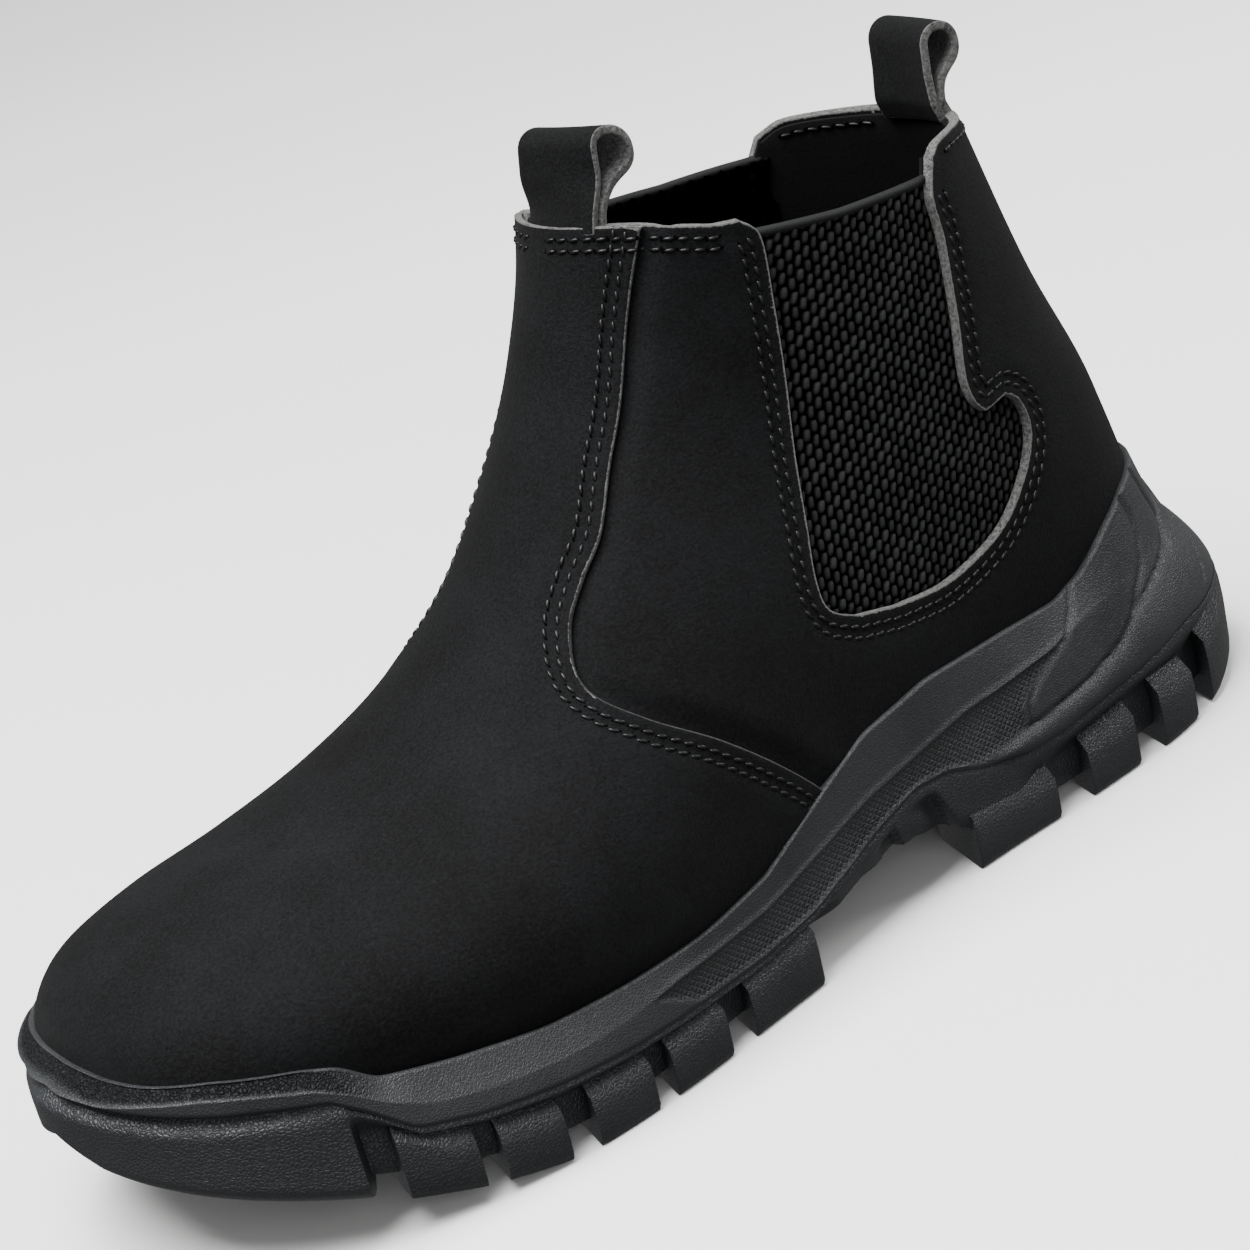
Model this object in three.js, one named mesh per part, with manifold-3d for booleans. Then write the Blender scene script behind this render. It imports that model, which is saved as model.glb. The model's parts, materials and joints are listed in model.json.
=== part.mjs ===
// Steel toe slip-on work boot (Chelsea pattern), left foot, about EU 42 to 43.
// Frame: millimetres, toe towards -X, outer (lateral) side towards -Y, +Z up.
// The origin is on the floor, at the middle of the boot's bounding box.

import * as THREE from 'three';
import { mergeVertices } from 'three/addons/utils/BufferGeometryUtils.js';
import Module from 'manifold-3d';

const wasm = await Module();
wasm.setup();

// ---------------------------------------------------------------------------
// Driving dimensions
// ---------------------------------------------------------------------------
const GAP = 0.3; // clearance between pieces that touch
const LEATHER = 2.2; // upper leather
const LINING = 1.0; // textile lining
const GORE = 1.8; // elastic side panel
const CAP_STEEL = 1.8; // steel toe cap wall
const CAP_TRIM = 1.2; // plastic trim behind the cap's rear edge
const COUNTER = 1.4; // heel counter
const BOARD = 2.0; // insole board
const FOOTBED = 4.4; // loose footbed
const SHANK = 1.6; // steel shank
const SHANK_WIDTH = 16;
const CENTRE_Y = 2.2; // middle of the shaft and heel
const REACH = 90; // half length of the cutting prisms along Y
const FAR = 200; // beyond the toe and the heel
const TALL = 230; // above everything
const DEEP = -20; // below everything

const LIP = 2.2; // thickness of the sole's edge where it hugs the upper
const STRAP = 1.9; // pull tab leather
const STRAP_WIDTH = 18.8;
const STRAP_Y = 0.3; // middle of the straps
const TAB_HEIGHT = 17; // height of a pull tab above its hinge
const TAB_BULGE = 8.4; // depth of the loop
const TAB_CLEAR = 2.3; // hinge axis above the top line

const RINGS = 18; // steps of the upper from toe to top line
const SPOKES = 28; // steps around the upper
const WALL_STEPS = 56; // steps around the sole

// The upper is lofted through sections that fan from the toe to the top line. Each one
// spans from a front point to a base point in the XZ plane and has rounded sides.
// front x, z,  base x, z,  half width, widest at, front roundness, base roundness, centre y
const SECTIONS = [
  [-143.5, 46, -143.5, 43, 0.5, 0.5, 2.2, 2.5, 4.7],
  [-142, 49.5, -143, 33, 15, 0.55, 2.2, 2.5, 4.7],
  [-137, 55, -140, 27.5, 26.5, 0.58, 2.2, 2.9, 4.7],
  [-125.5, 60, -130, 25.5, 37, 0.6, 2.2, 3.2, 4.2],
  [-107, 63, -110, 24, 45, 0.62, 2.2, 3.6, 3.2],
  [-85, 65.5, -86, 22, 49.5, 0.64, 2.2, 3.8, 1.7],
  [-64, 70.5, -60.5, 20.5, 52, 0.66, 2.15, 3.8, 0.7],
  [-45.5, 80.5, -30.5, 19.5, 50.5, 0.68, 2.1, 3.7, -0.3],
  [-30, 95, 7.5, 19.5, 45, 0.64, 2.1, 3.5, -0.3],
  [-16.5, 112, 54, 21.5, 41, 0.56, 2.1, 3.2, 1.2],
  [-7.5, 126, 101, 24, 38, 0.5, 2.1, 2.8, 2.2],
  [-1.5, 138.5, 130, 35, 36.5, 0.48, 2.1, 2.4, 2.2],
  [2.5, 147, 127.5, 73, 35, 0.48, 2.1, 2.3, 2.2],
  [5, 153.5, 116.5, 107.5, 34, 0.49, 2.1, 2.3, 2.2],
  [7, 159, 107, 147, 33.5, 0.5, 2.1, 2.3, 2.2],
];

// Side-view curves, as [x, z] pairs.
const VAMP_SEAM = [
  [20, 164.5], [16.5, 154.5], [11, 141.5], [2.5, 123.5], [-5.5, 112], [-13, 102], [-20, 95.5],
  [-27.5, 87.5], [-31.5, 78.5], [-25, 70.5], [-12, 60], [1.5, 46.5], [11, 34.5], [19.5, 20],
];
const GORE_CUT_FRONT = [
  [33.5, 150.5], [37, 146], [36, 133], [33.5, 117], [30, 103], [26.5, 89], [23.5, 78], [24, 71],
  [31, 66.5],
];
const GORE_CUT_BASE = [
  [42, 63.5], [57, 62], [73, 65.5], [83.5, 73.5], [89, 81.5], [88.5, 88.5], [85, 92],
];
const GORE_CUT_BACK = [
  [78, 91], [75.5, 94.5], [75, 100.5], [77.5, 112.5], [80, 128.5], [80, 137.5], [83.5, 145],
];
const GORE_STRIP = [
  [28.5, 146], [24.5, 118], [17.5, 88.5], [15, 64.5], [31, 58], [58.5, 54], [81, 59.5], [95.5, 74],
  [97, 96], [88, 102.5], [88, 140.5],
];
const TOP_LINE_FRONT = [
  [-2.5, 159], [4.5, 157.5], [11.5, 156.5], [21.5, 153.5], [29.5, 151], [35.5, 148.5],
];
const TOP_LINE_BACK = [[79.5, 146], [89.5, 147], [101.5, 146], [113.5, 145], [139, 144]];
const GORE_TOP_LINE = [[19.5, 148.5], [37.5, 146], [57, 143], [79, 141], [104, 139.5]];
const LINING_SEAM = [[26, 168], [17, 138.5], [4, 108.5], [-10.5, 83], [-15, 59], [-12.5, 19]];
const COUNTER_EDGE = [[72, 26.5], [77.5, 46.5], [89, 58.5], [104, 68], [119.5, 73.5], [147.5, 74.5]];
const FEATHER = [
  [-154, 27], [-130, 25.5], [-86, 22], [-60.5, 20.5], [-30.5, 19.5], [7.5, 19.5], [54, 21.5],
  [101, 24], [130, 27], [156, 28.5],
];

// Sole: side-view lines and plan outline.
const SOLE_TOP = [
  [-149.5, 43.5], [-131.5, 43], [-117.5, 40.5], [-111, 38.5], [-105, 33.5], [-90, 30.5], [-71, 27.5],
  [-52, 27], [-32, 27.5], [-13, 30], [3, 36.5], [21.5, 44], [41.5, 46.5], [67.5, 45], [84.5, 43.5],
  [93.5, 46], [103.5, 52], [114, 56.5], [125, 58], [142, 57.5],
];
const PARTING = [
  [-163.5, 41.5], [-150, 40], [-142, 37.5], [-132, 35.5], [-116, 33.5], [-110, 29], [-102.5, 22],
  [-89.5, 19], [-74.5, 17], [-54.5, 15.5], [-18.5, 14.5], [-2.5, 16], [9.5, 19.5], [20, 23],
  [32, 26], [42, 25], [52, 21], [63.5, 18.5], [75.5, 18.5], [101, 21], [118, 23], [176, 22.5],
];
const UNDERSIDE = [
  [-165, 30], [-150, 24], [-144, 20.5], [-130, 15], [-112, 9.5], [-111, 17], [-95, 13.5],
  [-80, 10.5], [-55, 9], [-30, 8], [-10, 9], [1, 12], [13, 15.5], [30, 16], [39, 13.5],
  [47, 8.5], [65, 7], [95, 7], [125, 8.5], [142, 12], [170, 18],
];
const TREAD_LINE = [
  [-165, 30], [-150, 24], [-144, 20.5], [-130, 15], [-112, 9.5], [-93, 4], [-76, 0.8], [-66, 0],
  [116, 0], [128, 1], [140, 3.6], [149, 8], [170, 16],
];
const SOLE_PLAN = [
  [-152.4, 4.7], [-149.3, -10.5], [-142.8, -22.8], [-132.3, -33.5], [-116, -43.8], [-94.5, -50.4],
  [-70, -53.6], [-45, -52.6], [-15, -47.8], [15, -43], [50, -39.5], [85, -38], [112, -34.5],
  [132.5, -26], [147, -12], [152.4, 2.2], [147, 16.4], [132.5, 30.4], [112, 38.5], [85, 41.5],
  [50, 42.5], [15, 44], [-15, 47], [-45, 51], [-70, 53.6], [-94.5, 53.2], [-116, 50],
  [-133.5, 41.3], [-143.3, 30], [-149, 17.5],
];
const FOOT_PLAN = [
  [-139.5, 4.7], [-133, -20], [-112, -38], [-86, -46.5], [-60, -49.5], [-30, -48], [6, -41.5],
  [46, -37], [86, -33.5], [109, -27], [123, -13], [127, 2.2], [123, 17.5], [109, 31], [86, 37.5],
  [46, 40], [6, 43.5], [-30, 48.5], [-60, 50.5], [-86, 49], [-112, 43.5], [-133, 29.5],
];

// Tread: [from x, to x] of the blocks along each edge, and of the bars down the middle.
const EDGE_LUGS = [
  [-107.5, -93], [-88.5, -75], [-68.5, -53.5], [-48.5, -32.5], [-25.5, -4.5], [44.5, 69],
  [79, 94.5], [103, 116],
];
const MIDDLE_LUGS = [[-98, -84], [-77, -62], [-55, -39], [-32, -14], [56, 72], [82, 98]];
const LUG_DEPTH = 20;
const LUG_SKEW = 5; // how far a block leans to the heel over its depth
const MIDDLE_HALF = 17;
const CHEVRON = 6;
const HEEL_LUG = [123, 12]; // where the rear block starts, and half the groove inside it

// ---------------------------------------------------------------------------
// Geometry helpers
// ---------------------------------------------------------------------------
const clamp = THREE.MathUtils.clamp;
const smoothstep = THREE.MathUtils.smoothstep;

// Height of a side-view line above x, straight between its points.
function heightAt(line, x) {
  const last = line.length - 1;
  const i = clamp(line.findIndex((point) => point[0] > x), 1, last);
  const k = x >= line[last][0] ? last : i;
  const [x0, z0] = line[k - 1];
  const [x1, z1] = line[k];
  return z0 + (z1 - z0) * clamp((x - x0) / (x1 - x0), 0, 1);
}

function smooth(points, steps) {
  const curve = new THREE.SplineCurve(points.map(([x, y]) => new THREE.Vector2(x, y)));
  return curve.getPoints(steps).map((point) => [point.x, point.y]);
}

// Evenly spaced points on a closed smooth outline.
function closedOutline(points, count) {
  const corners = points.map(([x, y]) => new THREE.Vector3(x, y, 0));
  const curve = new THREE.CatmullRomCurve3(corners, true, 'centripetal');
  return curve.getSpacedPoints(count).slice(0, count).map((point) => [point.x, point.y]);
}

// Outward normals of a closed outline that runs anticlockwise seen from above.
function outlineNormals(outline) {
  const count = outline.length;
  return outline.map((_, i) => {
    const before = outline[(i + count - 1) % count];
    const after = outline[(i + 1) % count];
    const normal = new THREE.Vector2(after[1] - before[1], before[0] - after[0]).normalize();
    return [normal.x, normal.y];
  });
}

function insetOutline(outline, distance) {
  const normals = outlineNormals(outline);
  return outline.map(([x, y], i) => [x - normals[i][0] * distance, y - normals[i][1] * distance]);
}

// Closed indexed geometry from rows of points; each row is a ring, and both ends are fanned.
function loftRings(rings, first, last) {
  const count = rings[0].length;
  const positions = [];
  const faces = [];
  for (const ring of rings) {
    for (const point of ring) {
      positions.push(...point);
    }
  }
  const start = positions.length / 3;
  positions.push(...first, ...last);
  for (let r = 0; r + 1 < rings.length; r++) {
    for (let i = 0; i < count; i++) {
      const j = (i + 1) % count;
      const a = r * count + i;
      const b = r * count + j;
      faces.push(a, b, b + count, a, b + count, a + count);
    }
  }
  const top = (rings.length - 1) * count;
  for (let i = 0; i < count; i++) {
    const j = (i + 1) % count;
    faces.push(start, j, i);
    faces.push(start + 1, top + i, top + j);
  }
  const geometry = new THREE.BufferGeometry();
  geometry.setAttribute('position', new THREE.Float32BufferAttribute(positions, 3));
  geometry.setIndex(faces);
  return geometry;
}

function toSolid(geometry) {
  const bare = geometry.clone();
  bare.deleteAttribute('normal');
  bare.deleteAttribute('uv');
  const merged = mergeVertices(bare, 1e-4);
  const make = (triangles) => new wasm.Manifold(new wasm.Mesh({
    numProp: 3,
    vertProperties: new Float32Array(merged.attributes.position.array),
    triVerts: triangles,
  }));
  const triangles = new Uint32Array(merged.index.array);
  const solid = make(triangles);
  return solid.volume() > 0 ? solid : make(triangles.reverse());
}

function toGeometry(solid) {
  const mesh = solid.getMesh();
  const geometry = new THREE.BufferGeometry();
  geometry.setAttribute('position', new THREE.Float32BufferAttribute(mesh.vertProperties, 3));
  geometry.setIndex(new THREE.Uint32BufferAttribute(mesh.triVerts, 1));
  return geometry;
}

// Side-view outline [x, z], extruded across the boot from y0 to y1.
function sidePrism(outline, y0 = -REACH, y1 = REACH) {
  const shape = new THREE.Shape(outline.map(([x, z]) => new THREE.Vector2(x, z)));
  const geometry = new THREE.ExtrudeGeometry(shape, { depth: y1 - y0, bevelEnabled: false });
  geometry.rotateX(Math.PI / 2);
  geometry.translate(0, y1, 0);
  return toSolid(geometry);
}

// Plan outline [x, y], extruded upwards from z0 to z1.
function planPrism(outline, z0, z1) {
  const shape = new THREE.Shape(outline.map(([x, y]) => new THREE.Vector2(x, y)));
  const geometry = new THREE.ExtrudeGeometry(shape, { depth: z1 - z0, bevelEnabled: false });
  geometry.translate(0, 0, z0);
  return toSolid(geometry);
}

// Everything under or over a side-view line, which runs on level past both of its ends.
function halfSpace(line, shift, edge) {
  const raised = line.map(([x, z]) => [x, z + shift]);
  return sidePrism([[-FAR, raised[0][1]], ...raised, [FAR, raised.at(-1)[1]], [FAR, edge], [-FAR, edge]]);
}
const below = (line, drop = 0) => halfSpace(line, -drop, DEEP);
const above = (line, lift = 0) => halfSpace(line, lift, TALL);

// ---------------------------------------------------------------------------
// The upper's surface
// ---------------------------------------------------------------------------
const TOP = SECTIONS.length - 1;

function sectionAt(s) {
  const t = clamp(s, 0, TOP - 1e-9);
  const i = Math.floor(t);
  const u = t - i;
  const row = (j) => SECTIONS[clamp(j, 0, TOP)];
  const before = i > 0 ? row(i - 1) : row(0).map((value, k) => 2 * value - row(1)[k]);
  const after = i + 2 <= TOP ? row(i + 2) : row(TOP).map((value, k) => 2 * value - row(TOP - 1)[k]);
  return row(i).map((p1, k) => {
    const p0 = before[k];
    const p2 = row(i + 1)[k];
    const p3 = after[k];
    const cubic = (-p0 + 3 * p1 - 3 * p2 + p3) * u ** 3;
    return 0.5 * (2 * p1 + (p2 - p0) * u + (2 * p0 - 5 * p1 + 4 * p2 - p3) * u * u + cubic);
  });
}

// s runs from the toe (0) to the top line (TOP); phi from the front ridge (0), down the
// outer side, to the base (pi) and back up the inner side.
function upperPoint(s, phi) {
  const [fx, fz, bx, bz, width, widest, roundFront, roundBase, centre] = sectionAt(s);
  const c = Math.cos(phi);
  const sn = Math.sin(phi);
  const power = 2 / (c > 0 ? roundFront : roundBase);
  const along = Math.abs(c) ** power;
  const across = Math.abs(sn) ** power;
  const tau = c > 0 ? widest * (1 - along) : widest + (1 - widest) * along;
  const y = -Math.sign(sn) * width * across + centre;
  return new THREE.Vector3(fx + (bx - fx) * tau, y, fz + (bz - fz) * tau);
}

function upperNormal(s, phi) {
  const d = 0.02;
  const alongS = upperPoint(Math.min(s + d, TOP), phi).sub(upperPoint(Math.max(s - d, 0), phi));
  const alongPhi = upperPoint(s, phi + d).sub(upperPoint(s, phi - d));
  return alongPhi.cross(alongS).normalize();
}

// Closed solid of the upper's surface moved inwards by inset, which is a number or a
// function of the surface point.
function upperSolid(inset, lift = 0) {
  const rings = [];
  for (let k = 1; k <= RINGS; k++) {
    const s = TOP * (k / RINGS) ** 1.1;
    const ring = [];
    for (let i = 0; i < SPOKES; i++) {
      const phi = (2 * Math.PI * (i + 0.5)) / SPOKES;
      const point = upperPoint(s, phi);
      const depth = typeof inset === 'function' ? inset(point) : inset;
      ring.push(point.addScaledVector(upperNormal(s, phi), -depth).toArray());
    }
    rings.push(ring);
  }
  if (lift > 0) {
    rings.push(rings.at(-1).map(([x, y, z]) => [x, y, z + lift]));
  }
  const tip = upperPoint(0, Math.PI / 2);
  tip.x += typeof inset === 'function' ? inset(tip) : inset;
  tip.y = SECTIONS[0][8];
  const share = (sum, point) => sum.map((value, k) => value + point[k] / SPOKES);
  const crown = rings.at(-1).reduce(share, [0, 0, 0]);
  return toSolid(loftRings(rings, tip.toArray(), crown));
}

const OPEN_TOP = 14; // how far an inner solid passes the top line, to leave the top open
const skin = (outer, inner) => upperSolid(outer).subtract(upperSolid(inner, OPEN_TOP));

// The lining steps inwards where it passes under the toe cap and over the heel counter.
function liningStep(point) {
  const toe = 1 - smoothstep(point.x, -68, -54);
  const heel = smoothstep(point.x, 26, 46) * (1 - smoothstep(point.z, 94, 112));
  return toe * (CAP_STEEL + GAP) + heel * (COUNTER + GAP);
}
const liningFace = LEATHER + GAP;
const liningBack = liningFace + LINING;

// ---------------------------------------------------------------------------
// Side-view regions
// ---------------------------------------------------------------------------
const goreCut = [
  ...smooth(GORE_CUT_FRONT, 16), ...smooth(GORE_CUT_BASE, 12), ...smooth(GORE_CUT_BACK, 12),
];
const topLine = [...TOP_LINE_FRONT, ...TOP_LINE_BACK];
const vampSeam = smooth(VAMP_SEAM, 26);
const underTopLine = below(topLine);
const lastingOpening = (margin) => planPrism(insetOutline(closedOutline(FOOT_PLAN, 36), margin), DEEP, 40);
const LASTING_MARGIN = 14;

function inFrontOf(seam, shift = 0) {
  return sidePrism([
    ...seam.map(([x, z]) => [x + shift, z + shift / 2]),
    [seam.at(-1)[0], DEEP], [-FAR, DEEP], [-FAR, TALL], [seam[0][0], TALL],
  ]);
}

// ---------------------------------------------------------------------------
// Upper pieces
// ---------------------------------------------------------------------------
const leatherSkin = skin(0, LEATHER).intersect(underTopLine).subtract(lastingOpening(LASTING_MARGIN));
const liningSkin = skin((p) => liningFace + liningStep(p), (p) => liningBack + liningStep(p))
  .intersect(underTopLine).subtract(lastingOpening(LASTING_MARGIN));
const goreSkin = skin(liningFace, liningFace + GORE).intersect(below(GORE_TOP_LINE));
const stiffenerSkin = skin(liningFace, liningFace + COUNTER);

const leftHalf = (prismOutline) => sidePrism(prismOutline, -REACH, CENTRE_Y - GAP / 2);
const rightHalf = (prismOutline) => sidePrism(prismOutline, CENTRE_Y + GAP / 2, REACH);
const WHOLE_SIDE = [[-FAR, DEEP], [FAR, DEEP], [FAR, TALL], [-FAR, TALL]];

const vamp = leatherSkin.intersect(inFrontOf(vampSeam));
const quarters = leatherSkin.subtract(inFrontOf(vampSeam, GAP))
  .subtract(sidePrism([...goreCut, [83.5, TALL], [33.5, TALL]]));
const quarterLeft = quarters.intersect(leftHalf(WHOLE_SIDE));
const quarterRight = quarters.intersect(rightHalf(WHOLE_SIDE));

const goreLeft = goreSkin.intersect(leftHalf([...GORE_STRIP, [88, 160], [28.5, 160]]));
const goreRight = goreSkin.intersect(rightHalf([...GORE_STRIP, [88, 160], [28.5, 160]]));
const goreHole = sidePrism(insetOutline([...GORE_STRIP, [88, 190], [28.5, 190]], -0.4));

const liningSeam = smooth(LINING_SEAM, 14);
const vampLining = liningSkin.intersect(inFrontOf(liningSeam)).subtract(goreHole);
const quarterLinings = liningSkin.subtract(inFrontOf(liningSeam, GAP)).subtract(goreHole);
const quarterLiningLeft = quarterLinings.intersect(leftHalf(WHOLE_SIDE));
const quarterLiningRight = quarterLinings.intersect(rightHalf(WHOLE_SIDE));

const FLANGE_MARGIN = 10; // the cap and the counter turn in under the foot by this much
const counterRegion = sidePrism([...COUNTER_EDGE, [140, DEEP], [66, DEEP]]);
const heelCounter = stiffenerSkin.intersect(counterRegion).subtract(lastingOpening(FLANGE_MARGIN));

const capSkin = skin(liningFace, liningFace + CAP_STEEL);
const steelToeCap = capSkin.intersect(sidePrism([[-170, DEEP], [-98, DEEP], [-85, 80], [-170, 80]]))
  .subtract(lastingOpening(FLANGE_MARGIN));
const trimFoot = heightAt(FEATHER, -88) + 7;
const trimSkin = skin(liningFace, liningFace + CAP_TRIM);
const trimRegion = sidePrism([[-91, trimFoot], [-85, trimFoot], [-78.7, 80], [-84.7, 80]]);
const toeCapTrim = trimSkin.intersect(trimRegion);

// Narrow leather strip over the back seam; it lies on the quarters.
const STRIP_HALF = 5;
const STRIP_THICK = 1.1;
const stripSide = [[85, 62], [150, 62], [150, 146], [85, 146]];
const stripRegion = sidePrism(stripSide, CENTRE_Y - STRIP_HALF, CENTRE_Y + STRIP_HALF);
const backStrip = upperSolid(-GAP - STRIP_THICK).subtract(upperSolid(-GAP)).intersect(stripRegion);

// ---------------------------------------------------------------------------
// Pieces under the foot
// ---------------------------------------------------------------------------
const footOutline = closedOutline(FOOT_PLAN, 36);
const boardPlan = planPrism(insetOutline(footOutline, 7), DEEP, 40);
const steppedSolid = (inset) => upperSolid((point) => inset + liningStep(point));
const layer = (from, to) => steppedSolid(from).subtract(steppedSolid(to));
const boardFace = liningBack + GAP;
const BOTTOM_LAYERS = 13; // the board, shank and filler end this far above the feather line
const FOOTBED_EDGE = 11; // height of the footbed's edge above the feather line
const bottomRegion = below(FEATHER, -BOTTOM_LAYERS);
const insoleBoard = layer(boardFace, boardFace + BOARD).intersect(boardPlan).intersect(bottomRegion);
const footbedFace = boardFace + BOARD + GAP;
const footbedPlan = planPrism(insetOutline(footOutline, 11), DEEP, 38);
const footbed = layer(footbedFace, footbedFace + FOOTBED)
  .intersect(footbedPlan).intersect(below(FEATHER, -FOOTBED_EDGE));

const SHANK_FROM = -42; // the shank runs under the arch, between these x
const SHANK_TO = 84;
function shankPlan(grow) {
  const half = SHANK_WIDTH / 2 + grow;
  const [from, to] = [SHANK_FROM - grow, SHANK_TO + grow];
  return planPrism([
    [from, CENTRE_Y - half], [to, CENTRE_Y - half], [to, CENTRE_Y + half], [from, CENTRE_Y + half],
  ], DEEP, 60);
}
const hollow = upperSolid(0).subtract(upperSolid(liningBack)).intersect(bottomRegion);
const bottomFiller = hollow.intersect(lastingOpening(LASTING_MARGIN + GAP)).subtract(shankPlan(GAP));
const steelShank = upperSolid(liningBack - SHANK).subtract(upperSolid(liningBack))
  .intersect(shankPlan(0)).intersect(bottomRegion);

// ---------------------------------------------------------------------------
// Sole
// ---------------------------------------------------------------------------
const bothSides = new THREE.MeshBasicMaterial({ side: THREE.DoubleSide });
const upperMesh = new THREE.Mesh(toGeometry(upperSolid(0)), bothSides);

// How far the upper lies inside a point of the sole's plan outline, at height z.
function depthToUpper([x, y], [nx, ny], z) {
  const ray = new THREE.Raycaster(new THREE.Vector3(x, y, z), new THREE.Vector3(-nx, -ny, 0));
  const hits = ray.intersectObject(upperMesh);
  return hits.length > 0 ? hits[0].distance : 0;
}

function soleSolid() {
  const outline = closedOutline(SOLE_PLAN, WALL_STEPS);
  const normals = outlineNormals(outline);
  const levels = Array.from({ length: 8 }, () => []);
  outline.forEach((base, i) => {
    const normal = normals[i];
    let rim = heightAt(SOLE_TOP, base[0]);
    let depth = 0;
    for (let round = 0; round < 6; round++) {
      depth = depthToUpper(base, normal, rim);
      rim = heightAt(SOLE_TOP, base[0] - normal[0] * depth);
    }
    const lean = Math.max(depth - LIP, 0);
    const belt = heightAt(PARTING, base[0]);
    const profile = [ // [inwards, height], from the ground to under the upper
      [1.5, DEEP / 2], [0.8, belt * 0.35], [0, belt * 0.8], [lean * 0.1, belt + 1],
      [lean * 0.42, belt + (rim - belt) * 0.45], [lean * 0.9, rim - 2.5], [lean + 1, rim],
      [lean + 9, rim - 1.5],
    ];
    profile.forEach(([inwards, z], level) => {
      levels[level].push([base[0] - normal[0] * inwards, base[1] - normal[1] * inwards, z]);
    });
  });
  return toSolid(loftRings(levels, [0, CENTRE_Y, DEEP / 2], [0, CENTRE_Y, 56]));
}

const soleBody = soleSolid();
const soleCup = soleBody.subtract(upperSolid(-GAP));
const midsole = soleCup.intersect(above(PARTING, GAP));

// One tread block across the edge of the sole, on the outer (-1) or inner (+1) side.
function edgeLug([from, to], side) {
  const outline = closedOutline(SOLE_PLAN, WALL_STEPS).filter(([, y]) => Math.sign(y - CENTRE_Y) === side);
  const nearest = outline.reduce((best, point) => (
    Math.abs(point[0] - (from + to) / 2) < Math.abs(best[0] - (from + to) / 2) ? point : best));
  const inner = nearest[1] - side * LUG_DEPTH;
  const overhang = 8;
  const outer = nearest[1] + side * overhang;
  const lead = LUG_SKEW * overhang / LUG_DEPTH;
  return planPrism([
    [from - lead, outer], [to - lead, outer], [to + LUG_SKEW, inner], [from + LUG_SKEW, inner],
  ], DEEP, 30);
}

function middleLug([from, to]) {
  return planPrism([
    [from, CENTRE_Y - MIDDLE_HALF], [to, CENTRE_Y - MIDDLE_HALF], [to - CHEVRON, CENTRE_Y],
    [to, CENTRE_Y + MIDDLE_HALF], [from, CENTRE_Y + MIDDLE_HALF], [from - CHEVRON, CENTRE_Y],
  ], DEEP, 30);
}

const [heelLugStart, heelLugGroove] = HEEL_LUG;
function heelLug(side) {
  const y = (distance) => CENTRE_Y + side * distance;
  return planPrism([
    [heelLugStart, y(50)], [170, y(50)], [170, y(2)], [136, y(2)],
    [heelLugStart + LUG_SKEW, y(heelLugGroove)],
  ], DEEP, 30);
}

const lugs = [
  ...EDGE_LUGS.flatMap((span) => [edgeLug(span, -1), edgeLug(span, 1)]),
  ...MIDDLE_LUGS.map(middleLug),
  heelLug(-1),
  heelLug(1),
].reduce((all, lug) => all.add(lug));
const tread = lugs.intersect(soleBody).intersect(above(TREAD_LINE)).intersect(below(UNDERSIDE, -1.5));
const outsole = soleCup.intersect(below(PARTING)).intersect(above(UNDERSIDE)).add(tread);

// ---------------------------------------------------------------------------
// Pull tabs: a doubled strap whose loop bulges to one side, hinged where it is sewn in
// ---------------------------------------------------------------------------
const TAB_END = STRAP + 0.1; // radius of the sewn end, where the two plies meet
const TAB_STEPS = 7; // points along each curve of a tab's outline

function tabGeometry() {
  const outer = new THREE.Path();
  outer.moveTo(-TAB_END, 0);
  outer.lineTo(-TAB_END, TAB_HEIGHT - 4);
  outer.bezierCurveTo(-TAB_END, TAB_HEIGHT + 1.3, TAB_BULGE, TAB_HEIGHT + 1.3, TAB_BULGE, TAB_HEIGHT - 6);
  outer.bezierCurveTo(TAB_BULGE, TAB_HEIGHT - 11, TAB_END, 8, TAB_END, 0);
  outer.absarc(0, 0, TAB_END, 0, -Math.PI, true);
  const inside = TAB_BULGE - STRAP;
  const inner = new THREE.Path();
  inner.moveTo(0, 6);
  inner.lineTo(0, TAB_HEIGHT - 4.5);
  inner.bezierCurveTo(0, TAB_HEIGHT - 1.2, inside, TAB_HEIGHT - 1.2, inside, TAB_HEIGHT - 5.5);
  inner.bezierCurveTo(inside, TAB_HEIGHT - 8, 1.2, 8.5, 0.3, 6);
  const distinct = (points) => points.filter((point, i) => point.distanceTo(points.at(i - 1)) > 0.05);
  const shape = new THREE.Shape(distinct(outer.getPoints(TAB_STEPS)));
  shape.holes.push(new THREE.Path(distinct(inner.getPoints(TAB_STEPS)).reverse()));
  const geometry = new THREE.ExtrudeGeometry(shape, { depth: STRAP_WIDTH, bevelEnabled: false });
  geometry.rotateX(Math.PI / 2);
  geometry.translate(0, STRAP_WIDTH / 2, 0);
  return toGeometry(toSolid(geometry));
}

// ---------------------------------------------------------------------------
// Finishes and assembly
// ---------------------------------------------------------------------------
const finish = (color, roughness, metalness = 0) => (
  () => new THREE.MeshStandardMaterial({ color, roughness, metalness }));
const nubuck = finish('#1d1f21', 0.85);
const elastic = finish('#141517', 0.9);
const textile = finish('#101113', 0.95);
const polyurethane = finish('#33363a', 0.6);
const rubber = finish('#2a2d30', 0.65);
const steel = finish('#9a9c9e', 0.35, 1);
const fibreboard = finish('#8f8471', 0.9);
const foam = finish('#24262a', 0.9);
const cork = finish('#8a6a45', 0.95);
const plastic = finish('#3a3d40', 0.55);
const thermoplastic = finish('#c9c2b0', 0.7);

function piece(name, shape, makeMaterial) {
  const geometry = shape instanceof THREE.BufferGeometry ? shape : toGeometry(shape);
  const mesh = new THREE.Mesh(geometry, makeMaterial());
  mesh.name = name;
  return mesh;
}

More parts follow.
